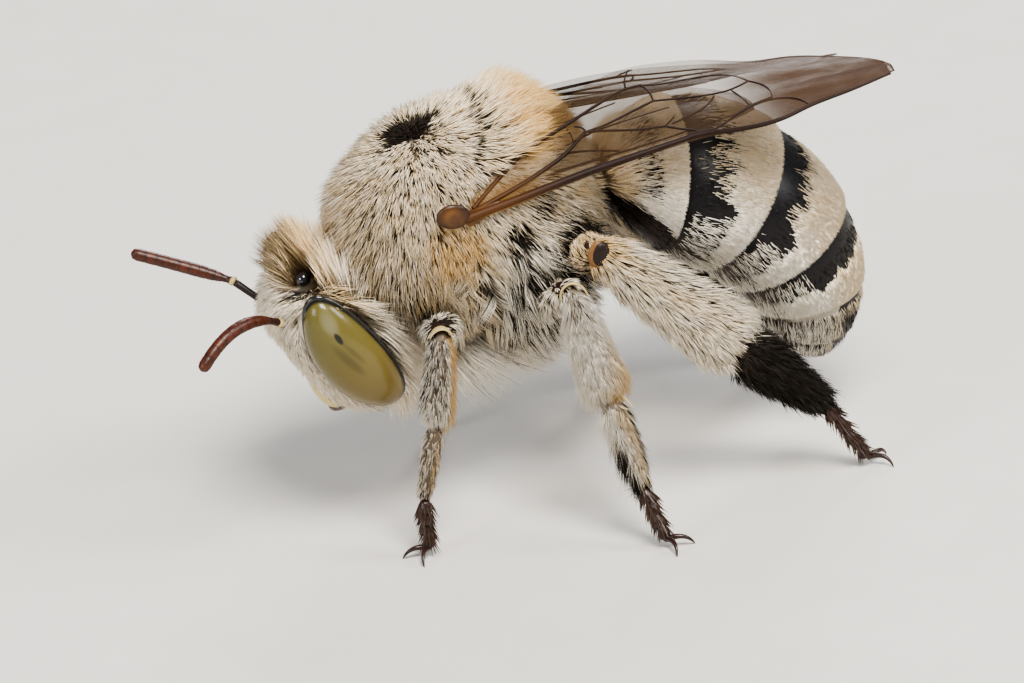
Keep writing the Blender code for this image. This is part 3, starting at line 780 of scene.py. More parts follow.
def coat_piece(name, growths):
    """One piece from several growths of blades, with its OFBake map."""
    offset, points, quads, tris = 0, [], [], []
    for growth in growths:
        points.append(growth["points"])
        quads.append(growth["quads"] + offset)
        tris.append(growth["tris"] + offset)
        offset += len(growth["points"])
    points, quads, tris = (np.concatenate(part) for part in (points, quads, tris))
    corners = np.concatenate([quads.ravel(), tris.ravel()]).astype(np.int32)
    starts = np.concatenate([np.arange(len(quads)) * 4, len(quads) * 4 + np.arange(len(tris)) * 3]).astype(np.int32)
    mesh = bpy.data.meshes.new(name)
    mesh.vertices.add(len(points))
    mesh.loops.add(len(corners))
    mesh.polygons.add(len(starts))
    mesh.vertices.foreach_set("co", in_metres(points).astype(np.float32).ravel())
    mesh.polygons.foreach_set("loop_start", starts)
    mesh.polygons.foreach_set("vertices", corners)
    mesh.update(calc_edges=True)
    uv = np.concatenate([growth["uv"] for growth in growths])[corners]
    mesh.uv_layers.new(name="OFBake").data.foreach_set("uv", uv.astype(np.float32).ravel())
    blade_numbers = ("blade_share", "blade_own", "dark", "buff")
    store(mesh, {key: np.concatenate([growth[key] for growth in growths]) for key in blade_numbers})
    mesh.shade_smooth()
    coat_counts[name] = 2 * len(quads) + len(tris)
    finish_piece(mesh, name, coat_finish)


# %% [markdown]
# ## Markings
# The white coat isn't plain: it has a bald black spot on the back, a black arc behind it, buff fur round the
# wing roots, and black bands on the abdomen. Each marking is a formula of place, which says how likely a
# black hair is there and how buff the pale ones are. Skin and coat ask the same formulas.

# %% Markings of the thorax
# Tufts of one colour, on both sides: how strong each is, its centre, and how far it reaches in millimetres.
BLACK_TUFTS = (
    (0.55, (-1.75, 2.1, 7.15), 0.42), (0.8, (0.5, 2.1, 7.0), 0.62), (0.95, (-0.1, 2.25, 6.5), 0.52),
    (0.85, (0.0, 2.2, 5.75), 0.5), (0.92, (1.0, 1.8, 6.0), 0.85), (0.9, (0.6, 2.0, 5.2), 0.6),
    (0.42, (0.6, 1.8, 4.8), 1.3), (0.45, (-2.2, 1.9, 5.2), 0.9),
)
WHITE_TUFTS = ((0.95, (-0.6, 2.3, 6.5), 0.4), (0.95, (0.1, 2.2, 6.1), 0.36))
GOLDEN_TUFT = (1.45, 1.6, 7.05), 0.55
BUFF_TUFTS = ((0.72, (-1.3, 2.2, 6.5), 0.95), (0.42, (-1.8, 2.0, 5.7), 1.2), (0.9, *GOLDEN_TUFT))


def near_to(points, centre, reach):
    """1 at the centre, 0 beyond reach, for a marking on both sides of the body."""
    away = np.stack([points[:, 0], np.abs(points[:, 1]), points[:, 2]], -1) - centre
    return fade(np.linalg.norm(away / reach, axis=1), 0.45, 1.0)


def spot_distance(p):
    """1 at the edge of the bald spot."""
    x, y, _ = p.T
    wobble = 1 + 0.12 * np.sin(9 * x + 5 * y) + 0.1 * np.sin(14 * y - 4 * x)
    return np.hypot((x + 1.5) / 0.5, (y + 0.05) / 0.40) * wobble


def thorax_marks(p):
    """How black and how buff the thorax is at each point."""
    x, y, z = p.T
    top = smooth(z, 7.4, 7.9)
    front = fade(x, -2.4, -1.6)
    dark = 0.045 + 0.075 * (1 - top) + 0.15 * front * (1 - top) - 0.04 * smooth(x, -0.2, 0.3) * top
    dark = np.maximum(dark, fade(spot_distance(p), 0.85, 1.25) * top)
    arc = np.abs(x + 0.36 + 0.13 * y**2)
    arc = 0.75 * fade(arc, 0.05, 0.17) * top * fade(np.abs(y), 1.2, 1.6)
    dark = np.maximum.reduce([dark, arc, *(strength * near_to(p, *tuft) for strength, *tuft in BLACK_TUFTS)])
    for strength, *tuft in WHITE_TUFTS:
        dark = dark * (1 - strength * near_to(p, *tuft))
    buff = 0.28 + 0.62 * smooth(x, -0.3, 0.4) * top + 0.06 * front * (1 - top)
    buff = np.maximum.reduce([buff, *(strength * near_to(p, *tuft) for strength, *tuft in BUFF_TUFTS)])
    buff = buff - 0.22 * near_to(p, (0.4, 2.0, 5.3), 1.6)
    return dark, np.clip(buff, 0, 1)


spot_and_beside = np.array([(-1.5, 0, 8.5), (-1.5, 1, 8.5)])
print("chance of black on the spot and beside it:", thorax_marks(spot_and_beside)[0].round(2))


# %% Where the eyes are
EYE_TALL, EYE_WIDE, EYE_BULGE = 1.48, 0.69, 0.52
EYE_BOW, EYE_TAPER = 0.15, 0.09  # how far its ends bend back, and how much narrower it is at its top
BEHIND_EYE, NOT_ON_EYE = -0.6, 9.0  # millimetres outward, and the distance given to points further in


def eye_frame(side):
    """The eye's place and its axes: back, outward and up."""
    centre = in_head(0.06, 1.75, 0.16, side)
    return centre, HEAD_TURN @ turn(16 * side, "Z") @ np.diag((1.0, side, 1.0))


def eye_place(points, side):
    """Places on the eye's plane as back and up, and how far out they are: 1 at the eye's edge."""
    centre, axes = eye_frame(side)
    local = (points - centre) @ axes
    v = local[:, 2] / EYE_TALL
    u = (local[:, 0] + 0.03 - EYE_BOW * v**2) / (EYE_WIDE * (1 - EYE_TAPER * v))
    return local, np.where(local[:, 1] > BEHIND_EYE, np.hypot(u, v), NOT_ON_EYE)


print("left eye's centre:", eye_frame(-1)[0].round(2))


# %% Markings of the head
SIDE_OCELLUS = 0.13, 0.45  # how far behind the head's centre and to its side, in millimetres


def from_ocellus(forward, beside):
    """Millimetres from the nearer ocellus of the pair."""
    return np.hypot(forward + SIDE_OCELLUS[0], beside - SIDE_OCELLUS[1])


def head_marks(p):
    """How black and how buff the head is at each point."""
    forward, outward, up = head_axes(p)
    beside = np.abs(outward)
    crest = smooth(up, 0.9, 1.2) * smooth(forward, -0.45, -0.3)
    crest = crest * fade(forward, 0.1, 0.2) * fade(beside, 0.35, 0.6)
    dark = 0.05 + 0.85 * crest
    bead = from_ocellus(forward, beside)
    dark = np.maximum(dark, 0.9 * fade(bead, 0.36, 0.5) * smooth(beside, 0.4, 0.55) * (up > 1))
    (near_local, near_edge), (far_local, far_edge) = eye_place(p, -1), eye_place(p, 1)
    edge = np.minimum(near_edge, far_edge)
    local = np.where((outward < 0)[:, None], near_local, far_local)
    top_corner = fade(edge, 1.0, 1.25) * smooth(local[:, 2], 0.7, 1.3)
    rear_line = fade(edge, 1.0, 1.2) * smooth(local[:, 0], 0.1, 0.5)
    dark = np.maximum(dark, np.maximum(top_corner, 0.12 * rear_line))
    seam = np.exp(-(((forward + 0.42 - 0.16 * up) / 0.1) ** 2)) * smooth(beside, 0.8, 1.2)
    dark = np.maximum(dark, 0.32 * seam * smooth(up, -0.6, 0.4))
    buff = 0.14 + 0.3 * crest + 0.46 * smooth(up, 0.7, 1.3) * (1 - 0.7 * crest) * fade(forward, -0.3, 0.1)
    return dark, buff


print("chance of black on the crown:", head_marks(in_head([-0.1], [0.0], [1.5]))[0].round(2))


# %% Markings of the abdomen
# For each ring of the abdomen: where the black ends and where the pale band begins, on the back and on the
# sides, as shares of the ring's length.
NO_BAND = (-0.5, 0.01), (-0.5, 0.01)
BANDS = {
    1: NO_BAND,
    2: ((-0.15, 0.76), (0.42, 0.74)),
    3: ((0.06, 0.62), (0.42, 0.74)),
    4: ((0.36, 0.54), (0.44, 0.60)),
    5: NO_BAND,
    6: NO_BAND,
}


def degrees_from_top(around):
    """How far round the abdomen a place is from the middle of the back, where around is a quarter turn."""
    return np.abs((around - 0.25 + 0.5) % 1 - 0.5) * 360


def first_belly(share):
    """Between which angles the first ring's fur ends. Its edge slopes down towards the rear."""
    return 82 + 36 * share, 94 + 36 * share


def abdomen_marks(number, share, around):
    """How black and how buff ring number is, at a share of its length and a turn round it, with painted shade in the
    crease behind the lip of the ring ahead.
    """
    from_top = degrees_from_top(around)
    sideness = smooth(from_top, 72, 86)
    back_band, side_band = BANDS[number]
    begin = back_band[0] * (1 - sideness) + side_band[0] * sideness
    end = back_band[1] * (1 - sideness) + side_band[1] * sideness
    ripple = 0.035 * np.sin(around * 150) + 0.025 * np.sin(around * 67 + number)
    dark = fade(share + ripple, begin, end)
    flank = smooth(from_top + 60 * (ripple + 0.01), 86, 103)
    dark = dark * (1 - flank) + np.minimum(dark, 0.4) * flank
    if number == 1:
        saddle = 0.42 * smooth(share, 0.15, 0.35) * fade(share, 0.6, 0.8) * (1 - flank)
        dark = np.maximum(dark, saddle)
        dark = np.maximum(dark, smooth(from_top, *first_belly(share)))
    # Rings 2 to 4 are darker just behind the lip of the ring ahead, on the back and upper sides: painted shade of the
    # crease between rings.
    crease_shade = 0.8 * fade(share, 0.03, 0.09) * (1 < number < 5)
    dark = np.maximum(dark, crease_shade * fade(from_top, 95, 110))
    if number >= 5:
        dark = smooth(share + ripple, 0.1, 0.32) if number == 5 else np.ones(np.shape(share))
        dark = np.maximum(dark * fade(from_top, 56, 78), 0.08)
    buff = 0.27 * fade(from_top, 55, 95) + 0.03
    if number == 1:
        buff = np.maximum(buff, 0.40 * fade(share, 0.18, 0.45) * (1 - flank))
    return np.clip(dark, 0, 1), buff


for number in BANDS:
    print("ring", number, "front to rear:", abdomen_marks(number, np.linspace(0, 1, 5), 0.25)[0].round(1))


# %% Markings of the legs


def leg_marks(part, which, along, around):
    """How black and how buff a leg is, from joint to joint and round it. A quarter turn is the outer face."""
    rear_edge, pale = np.cos(2 * np.pi * around), 0 * along
    if part == "femur":
        return 0.15 + 0.45 * (which == "front") * smooth(along, 0.6, 0.9), 0.12 + 0.45 * along * (which == "hind")
    if part == "tibia" and which == "hind":
        streak = np.exp(-((np.abs(around - 0.2) / 0.06) ** 2))
        return pale + 0.06, 0.14 + 0.55 * fade(along, 0.04, 0.28) + 0.25 * streak * (1 - along)
    if part == "tibia" and which == "middle":
        smoky = 0.38 * fade(along, 0.2, 0.5) * fade(np.abs(rear_edge), 0.3, 0.8)
        return smoky, 0.04 + 0.62 * smooth(along + 0.3 * rear_edge, 0.6, 1.1)
    if part == "tibia":
        golden = np.maximum(smooth(rear_edge, 0.6, 0.85), smooth(along, 0.86, 0.95))
        blots = 0.5 + 0.5 * np.sin(along * 31 + 4 * around) * np.sin(around * 44 + 9 * along)
        specks = (0.18 + 0.62 * blots) * fade(along, 0.55, 0.9) * fade(rear_edge, 0.2, 0.65)
        return specks, 0.03 + 0.85 * golden
    if which == "hind":
        return pale + 1.0, pale + 0.05
    if which == "middle":
        front = fade(rear_edge, -0.45, -0.15) * smooth(along, 0.35, 0.5)
        dark = np.maximum.reduce([front, smooth(along, 0.74, 0.86), smooth(rear_edge, 0.82, 0.95)])
        return dark, 0.05 + 0.3 * smooth(rear_edge, -0.2, 0.4)
    stripe = np.exp(-(((rear_edge - 0.35) / 0.2) ** 2))
    return (0.3 + 0.4 * smooth(along, 0.4, 1.0)) * (1 - stripe), 0.14 + 0.6 * stripe


print("hind heel, chance of black:", leg_marks("basitarsus", "hind", np.array([0.5]), 0.25)[0])


# %% [markdown]
# ## The coat's finish
# Pale hairs run from white to cream and buff, black ones are nearly coal. Each blade is darker at its root,
# where its neighbours shade it, and none has quite its neighbour's colour. The skin beneath takes the coat's
# colours where its downy number is high, so that no dark shell shows between pale hairs.

# %% Coat and skin finishes
WHITE, CREAM, BUFF, COAL = (0.95, 0.92, 0.86), (0.72, 0.60, 0.36), (0.74, 0.46, 0.17), (0.004, 0.003, 0.003)
ROOT_SHADE = (0.038, 0.022, 0.012)


def marked(recipe, own):
    """The coat's colour from the dark and buff numbers and a number of its own."""
    pale = recipe.mix(own * (recipe.attribute("buff") * 1.6 + 0.45), WHITE, CREAM)
    pale = recipe.mix(recipe.attribute("buff"), pale, BUFF)
    return recipe.mix(recipe.attribute("dark"), pale, COAL)


coat_finish = Recipe("bee_fur", Roughness=0.6, Specular_IOR_Level=0.08)
own = coat_finish.attribute("blade_own")
shade = coat_finish.attribute("blade_share").ramp(-0.15, 0.75)
coat_finish.set(Base_Color=coat_finish.mix(shade * 0.86 + 0.14, ROOT_SHADE, marked(coat_finish, own)))

skin_finish = Recipe("bee_shell_under_fur", Roughness=0.55, Specular_IOR_Level=0.25)
pores = skin_finish.noise(9.0, 5)
bare = skin_finish.mix(pores, (0.012, 0.006, 0.005), (0.026, 0.012, 0.008))
skin_finish.set(
    Base_Color=skin_finish.mix(skin_finish.attribute("downy"), bare, marked(skin_finish, pores)),
    Normal=skin_finish.bump(pores, 0.02, 0.5),
)
print("finishes:", len(bpy.data.materials))

# %% Finish the skin
skin_dark, skin_buff = thorax_marks(skin_points)
forward = head_axes(skin_points)[0]
head_dark, head_buff = head_marks(skin_points)
from_eyes = np.minimum(*(eye_place(skin_points, side)[1] for side in (-1, 1)))
cheek = fade(from_eyes, 1.1, 1.5) * smooth(forward, 0.1, 0.5)
patches = {"thorax": thorax_rings, "head": head_rings, "breast": breast, "waist": waist_piece}
patches.update({"_".join(key): rings for key, rings in limbs.items()})
labels = [name for name, rings in patches.items() for _ in range(rings.size // 3)]
lookup = KDTree(len(labels))
for k, point in enumerate(np.concatenate([rings.reshape(-1, 3) for rings in patches.values()])):
    lookup.insert(point, k)
lookup.balance()
nearest = [labels[lookup.find(point)[1]] for point in skin_points.tolist()]
label = np.array([name.removesuffix("_left").removesuffix("_right") for name in nearest])
is_head = label == "head"
downy = np.where(is_head, np.maximum(0.7, 0.85 * cheek), 0.36)
downy = np.where((skin_points[:, 2] < 4.3) & (label == "breast"), 0.1, downy)
for part, share in {"femur": 0.0, "waist": 0.0, "tibia": 0.0, "basitarsus": 0.0, "tibia_front": 0.12,
                    "tibia_middle": 0.2, "basitarsus_front": 0.1, "basitarsus_middle": 0.12}.items():
    downy = np.where(np.char.startswith(label, part), share, downy)
skin_numbers = {
    "dark": np.where(is_head, np.where(cheek > 0.3, np.minimum(head_dark, 0.1), head_dark), skin_dark),
    "buff": np.where(is_head, head_buff, skin_buff),
    "downy": downy,
}
print("skin patches:", sorted(set(label)))
skin_mesh.vertices.foreach_set("co", in_metres(skin_points).astype(np.float32).ravel())
store(skin_mesh, skin_numbers)
skin_mesh.shade_smooth()
flesh = ["thorax", "head", *(f"abdomen_{k}" for k in range(1, 7))]
flesh += [f"{part}_{which}_{side}" for part, which, side in limbs]
finish_piece(skin_mesh, "body_skin", skin_finish, flesh)

# %% [markdown]
# ## Fur on thorax and head
# The fur of the back stands half upright and flows away from the bald spot. Behind the black arc it is
# longer and stands up as a ruff, below the wings it flows down, and between the legs it hangs as a long
# fringe. On the head the face is short and combed down, a tuft stands on the crown, and a thick white
# ruff flows down behind each eye.

# %% How the thorax fur flows
SPOT_CENTRE, SCALE_TUFT = np.array([-1.55, 0.0, 8.5]), ((-1.28, 2.3, 7.1), 0.7)


def ruff_share(p):
    """1 behind the black arc, where the fur stands as a ruff."""
    x, _, z = p.T
    return smooth(x, -0.45, 0.1) * smooth(z, 6.6, 7.8)


def thorax_lie(p):
    """Which way the fur flows: away from the bald spot, over the wing scales, and down below the wings."""
    x, _, z = p.T
    away, ruff = unit(p - SPOT_CENTRE), ruff_share(p)
    lower = fade(z, 5.4, 7.0)
    behind = smooth(x, -0.4, 0.6) * lower
    over_scale = unit(np.sign(p[:, 1:2]) * (0, 2.5, 0) + (-1.28, 0, 7.12) - p)
    return (
        away * ((1 - ruff) * (1 - lower))[:, None]
        + np.array([0.9, 0, 0.05]) * ruff[:, None]
        + np.array([3.0, 0, 0.2]) * near_to(p, *GOLDEN_TUFT)[:, None]
        + 2.5 * over_scale * near_to(p, *SCALE_TUFT)[:, None]
        + np.array([0.3, 0, -1.0]) * (lower - behind)[:, None]
        + np.array([0.9, 0, -0.75]) * behind[:, None]
    )


def black_or_pale(chance, rng):
    """Each hair is black or pale, by chance."""
    return (rng.random(len(chance)) < chance) * rng.uniform(0.95, 1.0, len(chance))


# %% Thorax fur
WING_HEIGHT = 6.4  # the back's fur is above it, the flank's below
THORAX_DENSITY = 900  # hairs on a square millimetre


def thorax_fur(part, side, seed):
    """The hairs of the back or a flank, on one side."""
    roots = on_skin(scatter(thorax_rings, THORAX_DENSITY, seed))
    _, y, z = roots["points"].T
    roots = keep(roots, ((y > 0) == (side > 0)) & ((z > WING_HEIGHT) == (part == "back")))
    p = roots["points"]
    x, _, z = p.T
    ruff, flank = ruff_share(p), fade(z, 5.6, 7.0)
    low = fade(z, 4.3, 5.4)
    spot = fade(spot_distance(p), 0.8, 1.5) * (z > 7.4)
    side_long = flank * smooth(x, -0.9, -0.1)
    front = fade(x, -2.9, -2.1)
    golden = near_to(p, *GOLDEN_TUFT)
    hollow = smooth(x, 1.05, 1.5) * flank  # beside the waist, where long hairs would cross the abdomen
    bib = (0.22 + 0.24 * smooth(z, 6.6, 7.4)) * front * (1 - low)  # behind the head
    length = 0.56 + 0.34 * ruff + 0.26 * flank + 0.28 * low + 0.45 * side_long + bib + 0.35 * golden
    length = length * (1 - 0.5 * hollow)
    length = length * (1 - 0.6 * spot) * np.where(near_to(p, (-1.1, 2.35, 7.0), 0.5) > 0.2, 0.6, 1.0)
    facing = np.abs((unit(thorax_lie(p)) * roots["normals"]).sum(1))
    length = length * (1 - 0.6 * smooth(facing, 0.7, 0.9) * flank)  # no cowlicks where the flow meets a bulge
    chance, buff = thorax_marks(p)
    dark = black_or_pale(chance, roots["rng"])
    length = length * np.where(dark > 0.5, 0.9 + 0.2 * flank, 1.0)
    buff = np.clip(buff * roots["rng"].uniform(0.6, 1.3, len(buff)), 0, 1)
    width = np.where(dark > 0.5, 0.021 + 0.008 * flank, 0.028) - 0.004 * side_long
    tufts = flank * smooth(x, -1.9, -0.9)
    lift = 52 - 8 * ruff - 10 * low + 14 * side_long + 6 * front - 25 * golden
    settle = 24 + 4 * ruff - 6 * low + 12 * side_long + 10 * front - 10 * golden
    return grow(roots, thorax_lie(p), length, width, lift, settle, dark, buff,
                lock=0.42 + 0.24 * tufts, cell=0.17 + 0.2 * np.round(3 * tufts) / 3, stray=0.12 + 0.33 * tufts)


for part, first_seed in (("back", 11), ("flank", 13)):
    for k, (side_name, side) in enumerate(SIDES):
        coat_piece(f"fur_{part}_{side_name}", [thorax_fur(part, side, first_seed + k)])

# %% Fringe between the legs
roots = on_skin(scatter(breast, 620, 21), 0.2)
roots = keep(roots, roots["points"][:, 2] < 4.9)
p = roots["points"]
fringe_lie = np.array([0.9, 0.0, -0.6]) + 0.35 * np.sign(p[:, 1:2]) * np.array([0, 1.0, 0])
fringe_dark = black_or_pale(np.full(len(p), 0.06), roots["rng"])
forelegs = fade(p[:, 0], -1.2, 0.3)
fringe = grow(roots, fringe_lie, 1.35 + 0.75 * forelegs, 0.026, 58 - 12 * forelegs, 30 - 14 * forelegs,
              fringe_dark, 0.03, lock=0.5, cell=0.3)
coat_piece("fur_breast", [fringe])

# %% Where the head has fur


def head_roots(side, density, seed, only_tuft):
    """Roots on one side of the head, apart from its eye, ocelli, face plate and feeler's socket."""
    roots = on_skin(scatter(head_rings, density, seed))
    p = roots["points"]
    forward, outward, height = head_axes(p)
    local, edge = eye_place(p, side)
    face_plate = (np.hypot(outward / 0.95, (height + 1.0) / 0.45) < 1) & (forward > 0.4)
    socket = np.linalg.norm(p - (-4.68, side * 0.75, 4.68), axis=1) < 0.24
    mask = (np.sign(outward) == side) & (edge > np.where(local[:, 0] < 0, 1.12, 1.04)) & ~face_plate & ~socket
    mask &= (from_ocellus(forward, np.abs(outward)) > 0.25) | (height < 1)
    if only_tuft:
        mask &= (height > 1.1) & (np.abs(outward) < 0.45) & (forward > -0.5) & (forward < 0.14)
    return keep(roots, mask)


# %% Head fur


def head_fur(side, density, seed, only_tuft=False):
    """Fur on one side of the head. The crown's tuft is grown a second time, so that it is thicker."""
    roots = head_roots(side, density, seed, only_tuft)
    p, normals = roots["points"], roots["normals"]
    forward, outward, height = head_axes(p)
    beside = np.abs(outward)
    tuft = smooth(height, 0.9, 1.15) * fade(beside, 0.34, 0.58) * fade(forward, 0.08, 0.22)
    crown = smooth(height, 0.8, 1.1) * fade(beside, 1.15, 1.6) * fade(forward, -0.34, -0.2)
    crown = np.maximum(crown, tuft)
    face = smooth(forward, -0.12, 0.1) * (1 - crown)
    behind = 1 - face - crown
    nape = behind * fade(forward, -0.7, -0.35) * smooth(height, 0.0, 0.7)
    cheek = behind - nape
    ahead, out, rise = -HEAD_TURN[:, 0], np.array([0.0, side, 0.0]), HEAD_TURN[:, 2]
    lean = np.clip(0.1 + 0.6 * forward, -0.35, 0.08) - 0.1 * smooth(beside, 0.5, 1.0)  # of the crown's hairs
    vertex = smooth(height, 0.8, 1.25) * face
    upright = rise + ahead * lean[:, None] + out * 0.10 * beside[:, None]
    lie = (
        face[:, None] * (out * 0.35 - rise)
        + vertex[:, None] * ahead * 1.6
        + crown[:, None] * upright
        + cheek[:, None] * (-rise - ahead * 0.25 + out * 0.4)
        + nape[:, None] * (rise - ahead * 0.5)
    )
    upright_lift = np.degrees(np.arcsin(np.clip((unit(upright) * normals).sum(1), 0.1, 0.98)))
    low_face = face * fade(height, -0.9, -0.2)
    length = 0.36 * face + 1.15 * crown + 1.12 * cheek + 1.1 * nape + 0.2 * low_face + 0.25 * tuft + 0.16 * vertex
    bead = fade(from_ocellus(forward, beside), 0.34, 0.55)
    bead = bead * smooth(beside, 0.35, 0.5) * smooth(forward, -0.42, -0.3)
    length = length * (1 - 0.65 * bead) * (1 - 0.25 * tuft * smooth(forward, -0.15, 0.1))
    lift = 30 * face + 12 * vertex + upright_lift * crown + 40 * cheek + 58 * nape
    settle = 12 * face + 8 * vertex + (upright_lift - 8) * crown + 18 * cheek + 44 * nape
    chance, buff = head_marks(p)
    dark = black_or_pale(chance, roots["rng"]) * (1 - 0.1 * tuft)
    length = np.where((dark > 0.5) & (behind > 0.5), length * 0.7, length)
    width = np.where(dark > 0.5, 0.021, 0.026)
    # pale lightens the painted shade at the hairs' roots, most on the cheeks.
    return grow(roots, lie, length, width, lift, settle, dark, buff, curl=0.09, lock=0.38,
                cell=0.14 + 0.08 * np.round(crown + behind / 2), pale=(0.45 + 0.3 * cheek)[:, None],
                tipped=np.round(tuft))


for side_name, side in SIDES:
    growths = [head_fur(side, 950, 31 + side), head_fur(side, 1700, 36 + side, True)]
    coat_piece(f"fur_head_{side_name}", growths)

# %% [markdown]
# ## The abdomen's rings
# The abdomen is six hard rings, each with a lip that stands over the next, like tiles. They are shiny black
# and stay separate from the skin. Their fur is short and lies flat, so the bands are almost painted on:
# close pale hairs at the rear of each ring, a few short black ones ahead, and a ragged border between. The
# ring beneath has the same bands, so it needs few hairs where it is black.

# %% Rings and their finish
ring_finish = Recipe("black_ring", Roughness=0.4, Specular_IOR_Level=0.25)
punctures = ring_finish.out("ShaderNodeTexVoronoi", None, "Distance", Vector=ring_finish.place(), Scale=14.0)
felt = ring_finish.mix(ring_finish.noise(26, 3), (0.60, 0.52, 0.38), (0.86, 0.80, 0.68))
ring_base = ring_finish.mix(ring_finish.attribute("dark").ramp(0.01, 0.16), felt, (0.006, 0.005, 0.006))
ring_base = ring_finish.mix(ring_finish.attribute("belly"), ring_base, (0.030, 0.014, 0.009))
ring_finish.set(
    Base_Color=ring_finish.mix(ring_finish.attribute("lip") * 0.8, ring_base, (0.30, 0.19, 0.06)),
    Normal=ring_finish.bump(punctures.ramp(0.0, 0.35), 0.012, 0.6),
)


def ring_flare(share):
    """How full a ring is along its length: it widens towards its lip."""
    return np.interp(share, (0, 0.25, 0.9, 1.0), (0.93, 0.975, 1.0, 1.012))


plates, plate_numbers = [], {"dark": [], "lip": [], "belly": []}
for number, (begin, end) in enumerate(zip(SEGMENT_ENDS, SEGMENT_ENDS[1:]), start=1):
    tuck = 0.0 if number == 1 else 0.02
    share = np.array([0.0, 0.15, 0.3, 0.45, 0.6, 0.75, 0.88, 0.96, 1.0, 1.002, 0.97])
    flare = ring_flare(share)
    flare[-2:] = (0.99, 0.93)  # the lip turns in, under itself
    t = begin - tuck + (end - begin + tuck) * share
    rings = abdomen_loft(np.minimum(t, 0.997), flare, 0.11)
    plates.append(rings)
    around = np.arange(FINE) / FINE
    for s in share:
        belly_edge = first_belly(s) if number == 1 else (118, 134)
        plate_numbers["dark"].append(abdomen_marks(number, s, around)[0])
        plate_numbers["lip"].append(smooth(np.full(FINE, s), 0.94, 1.0) * (number in (4, 5)))
        plate_numbers["belly"].append(smooth(degrees_from_top(around), *belly_edge))
plate_points, plate_faces = several(plates)
solid("abdomen_rings", plate_points, plate_faces, ring_finish,
      [f"abdomen_{k}" for k in range(1, 7)], {key: np.concatenate(v) for key, v in plate_numbers.items()})

# %% Abdomen fur
SPARE = 0.12  # black bands carry only this share of black hairs, since the ring is black too
belly_growths, back_growths = [], []
for number, (begin, end) in enumerate(zip(SEGMENT_ENDS, SEGMENT_ENDS[1:]), start=1):
    share = np.linspace(0.0, 1.0, 16)
    rings = abdomen_loft(np.minimum(begin + (end - begin) * share, 0.99), ring_flare(share), 0.105)
    roots = scatter(rings, 1500, 40 + number)
    chance, buff = abdomen_marks(number, roots["along"], roots["around"])
    under = smooth(degrees_from_top(roots["around"]), 112, 138)
    pale_share, black_share = (1 - chance) ** 3, SPARE * chance
    share = (pale_share + black_share) * smooth(roots["along"], 0.02, 0.09) * (1 - 0.7 * under)
    mask = (roots["rng"].random(len(chance)) < share) & ((number != 4) | (roots["along"] < 0.93))
    roots, buff, under = keep(roots, mask), buff[mask], under[mask]
    black = (black_share / (pale_share + black_share))[mask]
    dark = black_or_pale(np.maximum(black, 0.55 * (number > 4)), roots["rng"])
    length = np.where(dark > 0.5, 0.15, 0.24) + 0.06 * under + 0.08 * (number > 4)
    if number == 1:
        length = length + 0.45 * fade(roots["along"], 0.2, 0.6)
    room = (1 - roots["along"]) * (end - begin) * ABDOMEN_LENGTH
    length = np.minimum(length, room + np.where(number == 4, 0.0, 0.05))
    lift = 9 + 8 * under
    width = np.where(dark > 0.5, 0.020, 0.025)
    tile = ((number - 1) / 6, number / 6)
    # pale=0.5 lightens the painted shade at the roots of these short flat hairs.
    for target, part in ((back_growths, under <= 0.02), (belly_growths, under > 0.02)):
        some = keep(roots, part)
        target.append(grow(some, some["flow"], length[part], width[part], lift[part], 5, dark[part],
                           buff[part], tile, curl=0.08, bends=1, lock=0.3, cell=0.12, pale=0.5))
coat_piece("fur_abdomen_back", back_growths[:2])
coat_piece("fur_abdomen_rear", back_growths[2:])
coat_piece("fur_belly", belly_growths)

# %% [markdown]
# ## Fur on the legs
# On the shins the hairs part along the middle and fan out to both edges, like a feather. The heel joints
# are brushes: black behind, cream over black in the middle, grey in front.

# %% Leg fur
LEG_FUR = {  # hairs on a square millimetre, their length, and how far they rise
    "femur": {"front": (520, 0.50, 22), "middle": (520, 0.50, 22), "hind": (700, 0.26, 24)},
    "tibia": {"front": (1050, 0.26, 14), "middle": (1050, 0.34, 15), "hind": (580, 0.55, 18)},
    "basitarsus": {"front": (900, 0.22, 16), "middle": (900, 0.36, 18), "hind": (620, 0.46, 20)},
}
LONG_EDGES = {  # the rear (1) or front (-1) edge, where it starts, and how many times longer its hairs are
    ("tibia", "front"): (1, 0.6, 1.6), ("tibia", "middle"): (-1, 0.4, 1.35),
    ("basitarsus", "middle"): (-1, 0.2, 1.5),
}


def leg_fur(part, which, side_name, tile, seed):
    """The hairs of one length of leg. They part along its middle and fan out to its edges."""
    density, length, lift = LEG_FUR[part][which]
    rings = limbs[part, which, side_name]
    roots = on_skin(scatter(rings, density, seed))
    if part == "femur":
        roots = keep(roots, roots["along"] < 0.93 if which != "hind" else roots["along"] > 0.5)
    edge = np.cos(2 * np.pi * roots["around"])
    broad = unit(rings[12, 0] - rings[12].mean(0))
    fan = 0.5 if (part, which) == ("tibia", "hind") else 0.22
    lie = unit(rings[-1].mean(0) - rings[0].mean(0)) + broad * (edge * fan)[:, None]
    chance, buff = leg_marks(part, which, roots["along"], roots["around"])
    dark = black_or_pale(chance, roots["rng"])
    long = length * (1 + 0.3 * np.abs(edge) ** 3) * (0.5 + 0.5 * smooth(roots["along"], 0.0, 0.3))
    if (part, which) in LONG_EDGES:
        way, start, longer = LONG_EDGES[part, which]
        long = long * np.where(way * edge > start, longer, 1.0)
    if part == "femur" and which == "hind":
        long, lie = length, lie * 0.3 + np.array([-0.4, 0, 0.6])
    elif part == "femur":
        long, lie = length * (1.1 - 0.7 * roots["along"]), np.array([0.5, 0, -1.0])
    bends, wide = (2, 0.028) if (which == "hind") != (part == "femur") else (1, 0.026)
    return grow(roots, lie, long, wide * np.where(dark > 0.5, 0.8, 1.0), lift + 6 * np.abs(edge), 7, dark, buff,
                tile, curl=0.08, bends=bends, cell=0.15, stray=0.14)


